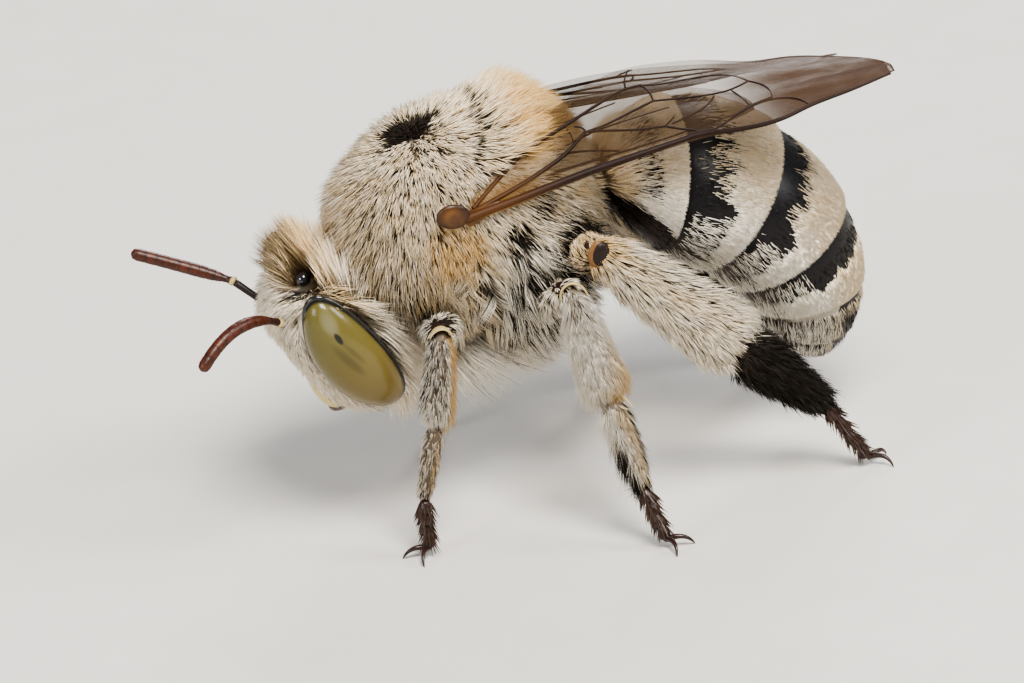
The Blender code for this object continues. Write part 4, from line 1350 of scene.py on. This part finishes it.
for k, (which, side_name, _) in enumerate(LEG_SIDES):
    lengths = [leg_fur("femur", which, side_name, (0, 0.5), 60 + 3 * k),
               leg_fur("tibia", which, side_name, (0.5, 1), 61 + 3 * k)]
    coat_piece(f"fur_leg_{which}_{side_name}", lengths)
    heel = leg_fur("basitarsus", which, side_name, (0, 1), 80 + k)
    coat_piece(f"brush_{which}_{side_name}", [heel])
print("coat triangles in all:", sum(coat_counts.values()))

# %% [markdown]
# ## Eyes
# A bee's big eyes have thousands of lenses, far too small to see, so the eye reads as a polished olive
# dome. Its edge is nearly straight behind and round in front, with a thin black rim. The dark fleck is the
# false pupil: the lenses that look straight at us. The dome is a disc of rings pushed out into a bulge, and
# its material draws the fleck and tints from two numbers stored on it, back and up.

# %% Eye finishes
eye_finish = Recipe("olive_eye", Roughness=0.24, Coat_Weight=0.22, Coat_Roughness=0.06, Specular_IOR_Level=0.25)
eye_back, eye_up, eye_edge = (eye_finish.attribute(n) for n in ("eye_back", "eye_up", "eye_edge"))
clouds = eye_finish.noise(1.6, 3, (1, 1, 0.5))
tint = eye_finish.mix(eye_up.ramp(-1.4, 1.0), (0.138, 0.098, 0.032), (0.105, 0.089, 0.023))
tint = eye_finish.mix(clouds.ramp(0.35, 0.75) * 0.4, tint, (0.140, 0.112, 0.033))


def fleck(back, height, half_back, half_up, lean=0.0, soft=(0.3, 1.2)):
    """1 in an ellipse on the eye, fading to 0 at its edge."""
    down = eye_up - height
    across = (eye_back - back + down * lean) / half_back
    return 1 - (across * across + (down / half_up) * (down / half_up)).ramp(*soft)


# The soft pale patch high on the eye is a painted reflection of the lamp, not a colour of the eye.
tint = eye_finish.mix(fleck(0.20, 1.0, 0.13, 0.24, 0.0, (-0.3, 2.2)) * 0.18, tint, (0.42, 0.42, 0.34))
tint = eye_finish.mix(fleck(0.06, 0.12, 0.10, 0.45, 0.15, (-0.2, 1.8)) * 0.6, tint, (0.055, 0.042, 0.012))
tint = eye_finish.mix(fleck(0.24, 0.20, 0.06, 0.32, 0.15, (-0.2, 1.8)) * 0.5, tint, (0.055, 0.042, 0.012))
tint = eye_finish.mix(fleck(0.18, 0.64, 0.065, 0.16), tint, (0.012, 0.012, 0.008))
facets = eye_finish.out("ShaderNodeTexVoronoi", None, "Distance", Vector=eye_finish.place(), Scale=38.0)
eye_finish.set(
    Base_Color=eye_finish.mix(eye_edge.ramp(0.955, 0.99), tint, (0.010, 0.009, 0.008)),
    Normal=eye_finish.bump(facets, 0.002, 0.4),
)
rim_finish = mottled("black_rim", 12, (0.006, 0.006, 0.007), (0.018, 0.015, 0.013), Roughness=0.22, Coat_Weight=0.4)

# %% Eye domes
EYE_TURNS = 2 * np.pi * np.arange(96) / 96


def eye_outline(turns, reach=1.0):
    """Back and up of points round the eye."""
    v = np.sin(turns) * reach
    u = np.cos(turns) * reach * EYE_WIDE * (1 - EYE_TAPER * v)
    return u - 0.03 + EYE_BOW * v**2, v * EYE_TALL


def eye_dome(side_name, side):
    """Rings pushed out into a bulge, and a smaller back inside the head."""
    centre, axes = eye_frame(side)
    reach = np.sin(np.linspace(0.01, 1.0, 26) * np.pi / 2)
    dome = np.array([np.stack(eye_outline(EYE_TURNS, r), -1) for r in reach])
    out = EYE_BULGE * np.sqrt(np.maximum(0, 1 - reach**2.3))
    local = np.stack([dome[..., 0], np.broadcast_to(out[:, None], dome.shape[:2]), dome[..., 1]], -1)
    inner = local[::-5] * (0.96, 0, 0.96) + (0, -0.25, 0)
    rings = np.concatenate([local, inner])
    numbers = {"eye_back": rings[..., 0].ravel(), "eye_up": rings[..., 2].ravel(),
               "eye_edge": np.repeat(np.concatenate([reach, np.ones(len(inner))]), len(EYE_TURNS))}
    points = centre + rings.reshape(-1, 3) @ axes.T
    solid(f"eye_dome_{side_name}", points, loft_faces(rings), eye_finish, [f"eye_{side_name}"], numbers)

# %% Eye rims


def eye_rim(side_name, side):
    """A thin tube round the eye's edge, thickest at its top."""
    centre, axes = eye_frame(side)
    x, z = eye_outline(EYE_TURNS)
    path = centre + np.stack([x, 0 * x - 0.01, z], -1) @ axes.T
    thick = 0.018 + 0.014 * smooth(np.cos(EYE_TURNS), 0.0, 0.8) + 0.05 * smooth(np.sin(EYE_TURNS), 0.75, 1.0)
    ring = loft(path, unit(path - centre), axes[:, 1], thick, thick * 0.9, 10)
    index = np.arange(ring.size // 3).reshape(ring.shape[:2])
    ahead, beside = np.roll(index, -1, 0), np.roll(index, -1, 1)
    rim_faces = np.stack([index, beside, np.roll(ahead, -1, 1), ahead], -1).reshape(-1, 4).tolist()
    solid(f"eye_rim_{side_name}", ring.reshape(-1, 3), rim_faces, rim_finish)


for side_name, side in SIDES:
    eye_dome(side_name, side)
    eye_rim(side_name, side)

# %% Ocelli
bead_finish = mottled("black_bead", 10, (0.004, 0.004, 0.006), (0.014, 0.013, 0.016),
                      Roughness=0.06, Coat_Weight=1.0, Coat_Roughness=0.03)
BEAD_RADIUS = 0.165
for name, where in {"left": (-0.13, 0.45), "right": (-0.13, -0.45), "middle": (0.22, 0.0)}.items():
    t, full = bulb(14)
    line = in_head(*where, 1.50) + np.outer(t, HEAD_UP) * 0.16
    half = BEAD_RADIUS * full
    bead = loft(line, (0, 1, 0), np.cross(HEAD_UP, (0, 1, 0)), half, half, 24)
    loft_piece(f"ocellus_bead_{name}", bead, bead_finish, [f"ocellus_{name}"])

# %% [markdown]
# ## Feelers, jaws and face plate
# Each feeler starts with a black stalk, has a small yellow-edged joint at its elbow, and goes on as ten
# rusty barrels on a curve. Lofts suit them, since a ring of points follows any path and its radius can dip
# at each joint. Two short dark jaws fold under a pale, bare face plate.

# %% Feeler finishes
stalk_finish = mottled("black_stalk", 10, (0.008, 0.006, 0.005), (0.022, 0.012, 0.009),
                       Roughness=0.42, Specular_IOR_Level=0.25)
rust_finish = Recipe("rust_feeler", Roughness=0.36, Specular_IOR_Level=0.35)
joint_ring = rust_finish.attribute("joint")
rust = rust_finish.mix(rust_finish.noise(7, 4).ramp(0.3, 0.7), (0.085, 0.020, 0.008), (0.038, 0.011, 0.006))
rust_finish.set(
    Base_Color=rust_finish.mix(joint_ring * 0.75, rust, (0.022, 0.008, 0.006)),
    Normal=rust_finish.bump(rust_finish.noise(45, 2), 0.006, 0.5),
)
yellow_finish = mottled("yellow_edge", 9, (0.56, 0.45, 0.22), (0.40, 0.29, 0.12), Roughness=0.4)

# %% Feelers
FEELERS = {  # the socket, the elbow, where the feeler bends, and its tip
    "left": ((-4.6, -0.6, 4.6), (-4.85, -1.05, 5.02), (-5.85, -1.72, 5.8), (-6.77, -2.1, 4.79)),
    "right": ((-4.85, 0.6, 4.85), (-5.32, 1.0, 5.24), (-5.93, 1.42, 5.46), (-7.21, 1.75, 5.99)),
}


def tube(path, half, sides, flatness=1.0):
    """A tube round a path that doesn't twist, with half its width at each point."""
    ahead = unit(np.gradient(path, axis=0))
    first = unit(np.cross(ahead, (0, 0, 1)))
    return loft(path, first, np.cross(ahead, first), half, half * flatness, sides)


def bent(start, middle, end, count):
    """Shares of the way from start to end, and places on a curve that bends towards middle."""
    s = np.linspace(0, 1, count)[:, None]
    return s[:, 0], start * (1 - s) ** 2 + middle * 2 * s * (1 - s) + end * s**2


def stalk(side_name, socket, elbow):
    """The feeler's first length."""
    root, t = socket + unit(socket - elbow) * 0.35, np.linspace(0, 1, 16)
    half = 0.066 * np.interp(t, (0, 0.1, 0.75, 0.95, 1), (0.6, 1, 1.15, 1.2, 0.6))
    rings = tube(root + np.outer(t, elbow - root), half, 20)
    loft_piece(f"stalk_{side_name}", rings, stalk_finish, [f"scape_{side_name}"])


def barrels(side_name, elbow, bend, tip):
    """The feeler's ten joints on a curve, with a small dip and a darker ring where two of them meet."""
    s, path = bent(elbow, bend, tip, 121)
    joints = s * 10.6 - 0.4
    dip = np.exp(-(((joints - np.round(joints)) / 0.09) ** 2)) * (joints > 0.6) * (joints < 9.8)
    half = np.interp(s, (0, 0.03, 0.08, 0.14, 0.24, 0.4, 0.95, 0.985, 1),
                     (0.04, 0.085, 0.07, 0.085, 0.115, 0.135, 0.13, 0.105, 0.03))
    half = half - 0.004 * dip + 0.002 * np.sin(np.pi * (joints % 1))
    dark = np.repeat(np.maximum(dip, fade(s, 0.10, 0.22)), 24)
    loft_piece(f"feeler_{side_name}", tube(path, half, 24), rust_finish,
               [f"flagellum_{side_name}"], {"joint": dark})


for side_name, feeler in FEELERS.items():
    socket, elbow, bend, tip = (np.array(p) for p in feeler)
    stalk(side_name, socket, elbow)
    barrels(side_name, elbow, bend, tip)
    t = np.linspace(-1, 1, 9)
    collar = tube(elbow + np.outer(t, unit(elbow - socket)) * 0.055, 0.108 * np.sqrt(1 - 0.5 * t**2), 20)
    loft_piece(f"elbow_ring_{side_name}", collar, yellow_finish)

# %% Jaws
jaw_finish = mottled("dark_jaw", 5, (0.020, 0.008, 0.006), (0.070, 0.022, 0.010), Roughness=0.25, Coat_Weight=0.3)
for side_name, side in SIDES:
    start, end = in_head(0.62, 0.72, -1.20, side), in_head(1.14, 0.15, -1.24, side)
    t = np.linspace(0.01, 0.99, 18)
    bow = np.outer(np.sin(np.pi * t), in_head(0.16, 0.06, -0.02, side) - HEAD_CENTRE)
    half = np.interp(t, (0, 0.06, 0.5, 0.9, 1), (0.04, 0.11, 0.09, 0.06, 0.025))
    jaw = tube(start + np.outer(t, end - start) + bow, half, 20, 0.8)
    loft_piece(f"jaw_{side_name}", jaw, jaw_finish, [f"mandible_{side_name}"])

# %% Face plate
plate_finish = mottled("pale_face_plate", 4, (0.64, 0.52, 0.20), (0.48, 0.37, 0.13), (30, 0.008, 0.4), Roughness=0.35)
t, full = bulb(20)
face_path = in_head(1.0 + 0.03 * t, 0 * t, -0.95 + 0.38 * t)
plate = loft(face_path, (0, 1, 0), HEAD_FORWARD, 0.80 * full, 0.24 * full, 32)
loft_piece("face_plate", plate, plate_finish)

# %% [markdown]
# ## The wings' film
# The film is clear enough to show the abdomen through it, amber at the root and smoky brown beyond the
# cells. One loft makes both sheets of it, a hair apart and closed at the edges, since a real film has a
# thickness too and an open sheet would have no inside.

# %% The film's finish
film_finish = Recipe("smoky_film", Roughness=0.3, Specular_IOR_Level=0.12)
outward_share, depth_share = film_finish.attribute("wing_along"), film_finish.attribute("wing_depth")
smoke = film_finish.noise(1.4, 4, (0.5, 1, 1))
tone = film_finish.mix(outward_share.ramp(0.02, 0.26), (0.20, 0.105, 0.032), (0.060, 0.034, 0.016))
tone = film_finish.mix(outward_share.ramp(0.50, 0.80), tone, (0.052, 0.024, 0.009))
ripples = film_finish.noise(3.0, 3, (0.6, 1.5, 1.5))
root_amber = (1 - outward_share.ramp(0.04, 0.22)) * (1 - depth_share.ramp(0.35, 0.8))
film_finish.set(
    Base_Color=tone,
    Alpha=0.20 + 0.66 * outward_share.ramp(0.58, 0.80) + 0.10 * smoke + 0.40 * root_amber,
    Normal=film_finish.bump(ripples, 0.04, 0.4),
)


# %% The films
HALF_FILM = 0.007
HIND_SHARE, HIND_BELOW, HIND_INSET = 0.68, 0.14, 0.55  # the hindwing's size, and where it lies under the forewing


def wing_film(name, side_name, share, below, inset, nodes):
    """The film of a wing share times the forewing's size, lying inset millimetres in from its front edge."""
    s, c = np.linspace(0.0, 0.995, 84), np.linspace(0, 1, 22)
    across = WING_CHORD * share * chord_share(s)
    edge = front_edge(s) if share == 1 else 0.1 * share * WING_CHORD * (np.maximum(0, s - 0.85) / 0.15) ** 2
    inward = inset + edge[:, None] + across[:, None] * c[None]
    along = np.broadcast_to((s * WING_LENGTH * share)[:, None], inward.shape)
    ripple = 0.025 * np.sin(inward * 7.0 + along * 0.8) * np.sin(np.pi * c)[None]
    top = wing_place(along, inward, side_name, below - HALF_FILM + ripple)
    bottom = wing_place(along, inward, side_name, below + HALF_FILM + ripple)
    both = np.concatenate([c, c[::-1]])
    numbers = {"wing_along": np.repeat(s * share, len(both)), "wing_depth": np.tile(both, len(s))}
    rings = np.concatenate([top, bottom[:, ::-1]], axis=1)
    loft_piece(name, rings, film_finish, nodes, numbers)


for side_name in POSES:
    wing_film(f"forewing_film_{side_name}", side_name, 1.0, 0.0, 0.0, [f"forewing_{side_name}"])
    wing_film(f"hindwing_film_{side_name}", side_name, HIND_SHARE, HIND_BELOW, HIND_INSET, [f"hindwing_{side_name}"])

# %% [markdown]
# ## Veins
# Veins are tubes that follow lines on the film, so they are curves, and Geometry Nodes turn each curve into
# a tube whose radius is stored on its points. The layout is the usual one of a bee's wing: a stout front
# edge, a closed cell at the rim, three small cells behind it, and long cells near the root.

# %% Vein layout
FORE_VEINS = [  # a radius at each end, then places as millimetres along the wing and inward
    (0.125, 0.080, [(-0.1, 0.1), (1.0, 0.14), (2.6, 0.24), (4.2, 0.25), (4.8, 0.26)]),
    (0.110, 0.100, [(4.7, 0.27), (4.95, 0.26), (5.25, 0.18)]),
    (0.070, 0.026, [(5.2, 0.18), (5.6, 0.02), (6.2, -0.15), (6.7, -0.2), (7.2, -0.03), (8.2, 0.0), (9.0, 0.16)]),
    (0.075, 0.040, [(0.0, 0.18), (1.2, 0.45), (2.2, 0.82), (2.8, 1.3)]),
    (0.055, 0.034, [(0.1, 0.28), (1.4, 1.2), (2.6, 1.67), (3.9, 2.28), (4.22, 2.26)]),
    (0.026, 0.018, [(3.9, 2.28), (3.88, 2.5), (4.1, 2.8)]),
    (0.026, 0.026, [(2.62, 1.52), (2.8, 1.5), (2.8, 1.3)]),
    (0.034, 0.030, [(2.8, 1.3), (3.15, 1.22), (3.75, 0.96), (4.35, 0.83)]),
    (0.028, 0.028, [(4.35, 0.83), (4.8, 0.47), (5.05, 0.3)]),
    (0.022, 0.018, [(4.35, 0.83), (4.46, 0.9), (4.6, 1.05)]),
    (0.032, 0.028, [(2.8, 1.3), (3.2, 1.32), (4.33, 1.69)]),
    (0.028, 0.028, [(4.33, 1.69), (4.38, 1.97), (4.22, 2.26)]),
    (0.026, 0.022, [(4.22, 2.26), (4.4, 2.16), (5.7, 2.13), (6.15, 1.92), (6.3, 1.6)]),
    (0.026, 0.024, [(4.33, 1.69), (5.44, 1.44), (5.9, 1.4), (6.3, 1.6)]),
    (0.024, 0.020, [(6.3, 1.6), (6.5, 1.45), (6.69, 1.14), (6.6, 0.75)]),
    (0.026, 0.026, [(6.6, 0.75), (6.1, 0.72), (5.67, 0.45), (5.45, 0.29), (5.2, 0.24)]),
    (0.022, 0.022, [(5.9, 1.4), (6.08, 1.0), (6.1, 0.72)]),
    (0.022, 0.022, [(5.52, 1.36), (5.3, 1.02), (4.5, 0.84)]),
    (0.026, 0.022, [(5.67, 0.45), (6.1, 0.66), (6.6, 0.73), (7.13, 0.42), (7.2, 0.05)]),
]
HIND_VEINS = [
    (0.040, 0.012, [(0.0, 0.05), (2.2, 0.06), (4.2, 0.06), (5.9, 0.2)]),
    (0.030, 0.020, [(0.2, 0.15), (1.8, 0.5), (2.6, 0.42), (3.3, 0.12)]),
    (0.024, 0.014, [(1.8, 0.5), (3.0, 0.85), (4.6, 1.0)]),
    (0.026, 0.014, [(0.2, 0.25), (1.6, 0.95), (2.4, 1.25), (3.6, 1.5)]),
    (0.018, 0.018, [(2.4, 1.25), (2.55, 1.0), (2.5, 0.7)]),
]
print("veins in a forewing and a hindwing:", len(FORE_VEINS), len(HIND_VEINS))


# %% Helpers for Geometry Nodes trees


def new_tree(name, output, **inputs):
    """A tree, its nodes' and links' makers, and its entry. Each input is given as a kind and a value."""
    tree = bpy.data.node_groups.new(name, "GeometryNodeTree")
    for label, (kind, value) in inputs.items():
        socket = tree.interface.new_socket(label, in_out="INPUT", socket_type="NodeSocket" + kind)
        if value is not None:
            socket.default_value = value
    tree.interface.new_socket(output, in_out="OUTPUT", socket_type="NodeSocketGeometry")
    return tree, tree.nodes.new, tree.links.new, tree.nodes.new("NodeGroupInput").outputs


def end_tree(tree, socket, finish):
    """Makes the tree's copies real meshes, gives them their finish, and sends them out."""
    real, paint = tree.nodes.new("GeometryNodeRealizeInstances"), tree.nodes.new("GeometryNodeSetMaterial")
    paint.inputs["Material"].default_value = finish.material
    tree.links.new(socket, real.inputs[0])
    tree.links.new(real.outputs[0], paint.inputs["Geometry"])
    tree.links.new(paint.outputs[0], tree.nodes.new("NodeGroupOutput").inputs[0])
    return tree


def run_tree(body, tree, **values):
    """The mesh that a tree makes of an object, with values for its named inputs. The object is removed."""
    step = body.modifiers.new(tree.name, "NODES")
    step.node_group = tree
    for socket in tree.interface.items_tree:
        if socket.name in values:
            step[socket.identifier] = values[socket.name]
    return made_real(body)


# %% The vein tree


def vein_tree(finish):
    """A tree that turns curves into tubes with flat ends. Fullness scales the radius stored on each point."""
    tree, new, link, entry = new_tree(
        "veins", "Tubes", Curves=("Geometry", None), Fullness=("Float", 1.0), Sides=("Int", 8))
    circle, tube = new("GeometryNodeCurvePrimitiveCircle"), new("GeometryNodeCurveToMesh")
    circle.inputs["Radius"].default_value = 1.0
    tube.inputs["Fill Caps"].default_value = True
    widen, radius, scale = new("GeometryNodeSetCurveRadius"), new("GeometryNodeInputRadius"), new("ShaderNodeMath")
    scale.operation = "MULTIPLY"
    link(entry["Sides"], circle.inputs["Resolution"])
    link(radius.outputs[0], scale.inputs[0])
    link(entry["Fullness"], scale.inputs[1])
    link(entry["Curves"], widen.inputs["Curve"])
    link(scale.outputs[0], widen.inputs["Radius"])
    link(widen.outputs[0], tube.inputs["Curve"])
    link(circle.outputs["Curve"], tube.inputs["Profile Curve"])
    if "Scale" in tube.inputs:  # newer Blenders take the tube's radius from here
        link(new("GeometryNodeInputRadius").outputs[0], tube.inputs["Scale"])
    return end_tree(tree, tube.outputs[0], finish)


vein_finish = Recipe("dark_vein", Roughness=0.5, Specular_IOR_Level=0.18)
amber = vein_finish.attribute("near_root")
vein_base = vein_finish.mix(vein_finish.noise(6), (0.010, 0.005, 0.004), (0.024, 0.010, 0.006))
vein_finish.set(Base_Color=vein_finish.mix(amber * 0.7, vein_base, (0.085, 0.034, 0.010)))
VEIN_TREE = vein_tree(vein_finish)
print("vein tree's inputs and output:", [socket.name for socket in VEIN_TREE.interface.items_tree])

# %% Make the veins


def even_steps(places, step=0.12):
    """A smooth line through places, with even points."""
    places = np.array(places, float)
    gaps = np.concatenate([[0], np.cumsum(np.linalg.norm(np.diff(places, axis=0), axis=1))])
    count = max(6, int(gaps[-1] / step))
    at = np.linspace(0, gaps[-1], count)
    line = np.stack([np.interp(at, gaps, places[:, k]) for k in range(places.shape[1])], -1)
    for _ in range(6):
        line[1:-1] = line[1:-1] * 0.5 + (line[:-2] + line[2:]) * 0.25
    return line


def wing_veins(name, side_name, veins, below, inset, fullness):
    """A wing's veins as one piece, amber near the root."""
    data = bpy.data.curves.new(name, "CURVE")
    data.dimensions = "3D"
    for start, end, places in veins:
        line = even_steps(places)
        points = in_metres(wing_place(line[:, 0], line[:, 1] + inset, side_name, below))
        spline = data.splines.new("POLY")
        spline.points.add(len(points) - 1)
        for k, (point, p) in enumerate(zip(spline.points, points)):
            point.co = (*p, 1)
            point.radius = (start + (end - start) * k / (len(points) - 1)) * MM
    mesh = run_tree(add_object(name + "_lines", data), VEIN_TREE, Fullness=fullness)
    away = np.linalg.norm(read_points(mesh) - in_metres(wing_place(0.0, 0.2, side_name)), axis=1) / MM
    store(mesh, {"near_root": fade(away, 0.4, 2.4)})
    mesh.shade_smooth()
    finish_piece(mesh, name, vein_finish)


for side_name in POSES:
    wing_veins(f"forewing_veins_{side_name}", side_name, FORE_VEINS, 0.0, 0.0, 0.85)
    wing_veins(f"hindwing_veins_{side_name}", side_name, HIND_VEINS, HIND_BELOW, HIND_INSET, 1.0)

# %% Wing scales and roots
amber_finish = Recipe("amber_scale", Roughness=0.34, Specular_IOR_Level=0.3)
blotch = amber_finish.noise(2.2, 3)
amber_base = amber_finish.mix(blotch.ramp(0.35, 0.65), (0.13, 0.055, 0.016), (0.05, 0.020, 0.008))
dark_edge = amber_finish.attribute("heart") * 0.6
amber_finish.set(Base_Color=amber_finish.mix(dark_edge, amber_base, (0.016, 0.009, 0.007)))
for side_name, side in SIDES:
    middle = np.array([-1.28, side * 2.38, 7.12])
    t, full = bulb(18)
    line = middle + np.outer(t, (0.08, side * 0.03, 0.27))
    cap = loft(line, (1, 0, -0.25), (0, side, 0.2), 0.34 * full, 0.12 * full, 28)
    heart = smooth(np.linalg.norm((cap.reshape(-1, 3) - middle) * (1, 0, 1), axis=1), 0.16, 0.27)
    loft_piece(f"wing_scale_{side_name}", cap, amber_finish, [f"tegula_{side_name}"], {"heart": heart})
    start, end = np.array([-1.05, side * 2.3, 6.92]), wing_place(0.75, 0.2, side_name)
    knuckle = limb_loft(start, end, (0.34, 0.16), 0.6, 20, 14)
    heart = np.zeros(knuckle.size // 3)
    loft_piece(f"wing_root_{side_name}", knuckle, amber_finish, (), {"heart": heart})

# %% [markdown]
# ## Feet
# The last joints of each leg are small dark trumpets, and the foot ends in two curved claws. Stiff bristles
# stand all over them. Geometry Nodes scatter the bristles over the joints, one small spike on many points.

# %% Feet and claws
foot_finish = mottled("dark_foot", 5, (0.008, 0.005, 0.005), (0.040, 0.013, 0.008), (40, 0.006, 0.4),
                      Roughness=0.3, Specular_IOR_Level=0.45)
FOOT_JOINTS, FOOT_SIDES = 4, 16


def claw(end, ahead, aside, reach):
    """A hook from the foot's end up, over and down to the floor."""
    hook = end + (ahead * 0.46 + aside) * reach
    hook[2] = 0.05
    knee = (end + hook) / 2 + (ahead * 0.16 + np.array([0, 0, 0.24])) * reach
    s, path = bent(end, knee, hook, 15)
    return tube(path, 0.062 * (1 - s) ** 0.6 + 0.006, FOOT_SIDES)


feet = {}
for which, side_name, side in LEG_SIDES:
    heel, toe = leg_path(which, side)[3:]
    ahead = unit(np.array([toe[0] - heel[0], toe[1] - heel[1], 0]))
    aside = np.array([-ahead[1], ahead[0], 0]) * 0.34
    t, end = np.linspace(0.0, 1.0, 81), toe + np.array([0, 0, 0.03])
    beads = (t * FOOT_JOINTS) % 1
    half = (0.075 + 0.075 * np.sin(np.pi * np.minimum(beads * 0.62, 1)) ** 1.2) * (1.05 - 0.25 * t)
    half = half * np.sqrt(np.clip(np.minimum(t / 0.03, (1 - t) / 0.03), 0.02, 1))
    feet[which, side_name] = tube(heel + np.outer(t, end - heel), half, FOOT_SIDES)
    reach = 0.45 if (which, side) == ("front", 1) else 1.0  # this foot holds its claws drawn in
    claws = [claw(end, ahead, aside * sign, reach) for sign in (-1, 1)]
    points, faces = several([feet[which, side_name], *claws])
    points[:, 2] = np.maximum(points[:, 2], -SHIFT[2])
    name = f"{which}_{side_name}"
    solid(f"foot_joints_{name}", points, faces, foot_finish, [f"foot_{name}"])

# %% The bristle tree


def bristle_tree(finish):
    """A tree that stands small spikes on a mesh, each turned along the direction stored there."""
    tree, new, link, entry = new_tree(
        "bristles", "Bristles", Joints=("Geometry", None), Density=("Float", 1.0), Length=("Float", 1.0),
        Thickness=("Float", 1.0), Seed=("Int", 3))
    spread, spike, place = (new("GeometryNode" + kind) for kind in (
        "DistributePointsOnFaces", "MeshCone", "InstanceOnPoints"))
    spike.inputs["Vertices"].default_value = 4
    lie = new("GeometryNodeInputNamedAttribute")
    lie.data_type, lie.inputs["Name"].default_value = "FLOAT_VECTOR", "lie"
    aim, vary = new("FunctionNodeAlignRotationToVector"), new("FunctionNodeRandomValue")
    aim.axis = "Z"
    sizes = [socket for socket in vary.inputs if socket.name in ("Min", "Max") and socket.type == "VALUE"]
    sizes[0].default_value, sizes[1].default_value = 0.55, 1.25
    link(entry["Joints"], spread.inputs["Mesh"])
    link(entry["Density"], spread.inputs["Density"])
    link(entry["Seed"], spread.inputs["Seed"])
    link(entry["Thickness"], spike.inputs["Radius Bottom"])
    link(entry["Length"], spike.inputs["Depth"])
    link(lie.outputs["Attribute"], aim.inputs["Vector"])
    link(spread.outputs["Points"], place.inputs["Points"])
    link(spike.outputs["Mesh"], place.inputs["Instance"])
    link(aim.outputs["Rotation"], place.inputs["Rotation"])
    link(next(socket for socket in vary.outputs if socket.type == "VALUE"), place.inputs["Scale"])
    return end_tree(tree, place.outputs["Instances"], finish)


bristle_finish = mottled("dark_bristle", 8, (0.010, 0.007, 0.006), (0.090, 0.050, 0.032),
                         Roughness=0.4, Specular_IOR_Level=0.3)
BRISTLE_TREE = bristle_tree(bristle_finish)
print("bristle tree's inputs and output:", [socket.name for socket in BRISTLE_TREE.interface.items_tree])

# %% Bristles on the feet
BRISTLE_THICKNESS = 0.016


def bristled(name, rings, density, length, spread, seed):
    """Bristles on a loft, leaning along it: density on a square millimetre, length in millimetres."""
    mesh = bpy.data.meshes.new(name + "_stand")
    mesh.from_pydata(in_metres(rings.reshape(-1, 3)).tolist(), [], loft_faces(rings))
    outward = unit(rings - rings.mean(1, keepdims=True)) * spread + unit(rings[-1].mean(0) - rings[0].mean(0))
    lie = mesh.attributes.new("lie", "FLOAT_VECTOR", "POINT")
    lie.data.foreach_set("vector", unit(outward).astype(np.float32).ravel())
    made = run_tree(add_object(name + "_stand", mesh), BRISTLE_TREE, Density=density / MM**2, Length=length * MM,
                    Thickness=BRISTLE_THICKNESS * MM, Seed=seed)
    points = read_points(made)
    points[:, 2] = np.maximum(points[:, 2], 0.0)  # none goes through the floor
    made.vertices.foreach_set("co", points.ravel())
    finish_piece(made, name, bristle_finish)


for k, ((which, side_name), rings) in enumerate(feet.items()):
    bristled(f"bristles_{which}_{side_name}", rings[4:72], 260, 0.26, 0.55, 7 + k)

# %% [markdown]
# ## Knees and spurs
# The front and middle knees end in a pale horny rim, like a fingernail. The hind knee carries a dark oval
# plate with an orange edge instead, which the bee braces against its burrow. The middle shin ends in a
# pointed spur.

# %% Knee rims


def knee_rim(which, side_name, side, along):
    """An arc round the shin's top, thick in the middle and thin at both ends."""
    ring = limbs["tibia", which, side_name][5]
    middle, turns = ring.mean(0), np.radians(np.linspace(-75, 90, 33))
    broad, reach = unit(ring[0] - middle), np.linalg.norm(ring[0] - middle) + 0.03
    across = unit(np.cross(along, broad)) * side * np.sign(np.cross(along, broad)[1])
    arc = middle + across * 0.04 + reach * (np.outer(np.sin(turns), broad) - np.outer(np.cos(turns), along) * 1.25)
    taper = np.sqrt(np.sin(np.linspace(0.04, 0.96, 33) * np.pi))
    rim = loft(arc, unit(arc - middle), across, 0.032 * taper, 0.12 * taper, 12)
    loft_piece(f"knee_rim_{which}_{side_name}", rim, yellow_finish)


# %% Knee plates
gold_finish = mottled("golden_rim", 12, (0.20, 0.088, 0.020), (0.11, 0.045, 0.012), Roughness=0.45)
KNEE_DISCS = {  # how big each disc is, half its thickness, how far forward it lies, and its finish
    "plate": (1.12, 0.115, 0.0, stalk_finish),
    "plate_edge": (1.2, 0.07, 0.055, gold_finish),
}


def knee_plate(side_name, side):
    """The dark plate, on a slightly larger and thinner orange disc."""
    ring = limbs["tibia", "hind", side_name][4]
    out = unit(np.array([-0.25, side, 0.1]))
    face = ring.mean(0) + out * np.linalg.norm(ring[7] - ring.mean(0)) * 1.02
    t, full = bulb(14)
    for name, (size, thin, forward, finish) in KNEE_DISCS.items():
        line = face - np.array([forward, 0, 0]) + np.outer(t, unit(np.array([0.25, 0.0, 1.0]))) * 0.24 * size
        disc = loft(line, (1, 0, -0.25), (0, side, 0), 0.17 * size * full, thin * full, 20)
        loft_piece(f"knee_{name}_{side_name}", disc, finish)


# %% Knees and spurs
def spur(side_name, side, along):
    """A pale spike at the end of the middle shin."""
    t = np.linspace(0.02, 0.98, 12)
    start = limbs["tibia", "middle", side_name][-4].mean(0) + np.array([0.18, side * 0.1, 0.05])
    path = start + np.outer(t, along + np.array([0.55, 0, 0])) * 0.4
    loft_piece(f"spur_{side_name}", tube(path, 0.05 * (1 - t) + 0.006, 12), yellow_finish)


for which, side_name, side in LEG_SIDES:
    knee, ankle = leg_path(which, side)[1:3]
    if which == "hind":
        knee_plate(side_name, side)
    else:
        knee_rim(which, side_name, side, unit(ankle - knee))
    if which == "middle":
        spur(side_name, side, unit(ankle - knee))

# %% [markdown]
# ## Sizes and the end
# The new pieces should fill the CAD's box and no more, apart from a little fur. The box of the new pieces is printed.

# %% Write the sizes and finish
low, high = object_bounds()
print("visual box in mm:", [round(1000 * v, 2) for v in (*low, *high)])
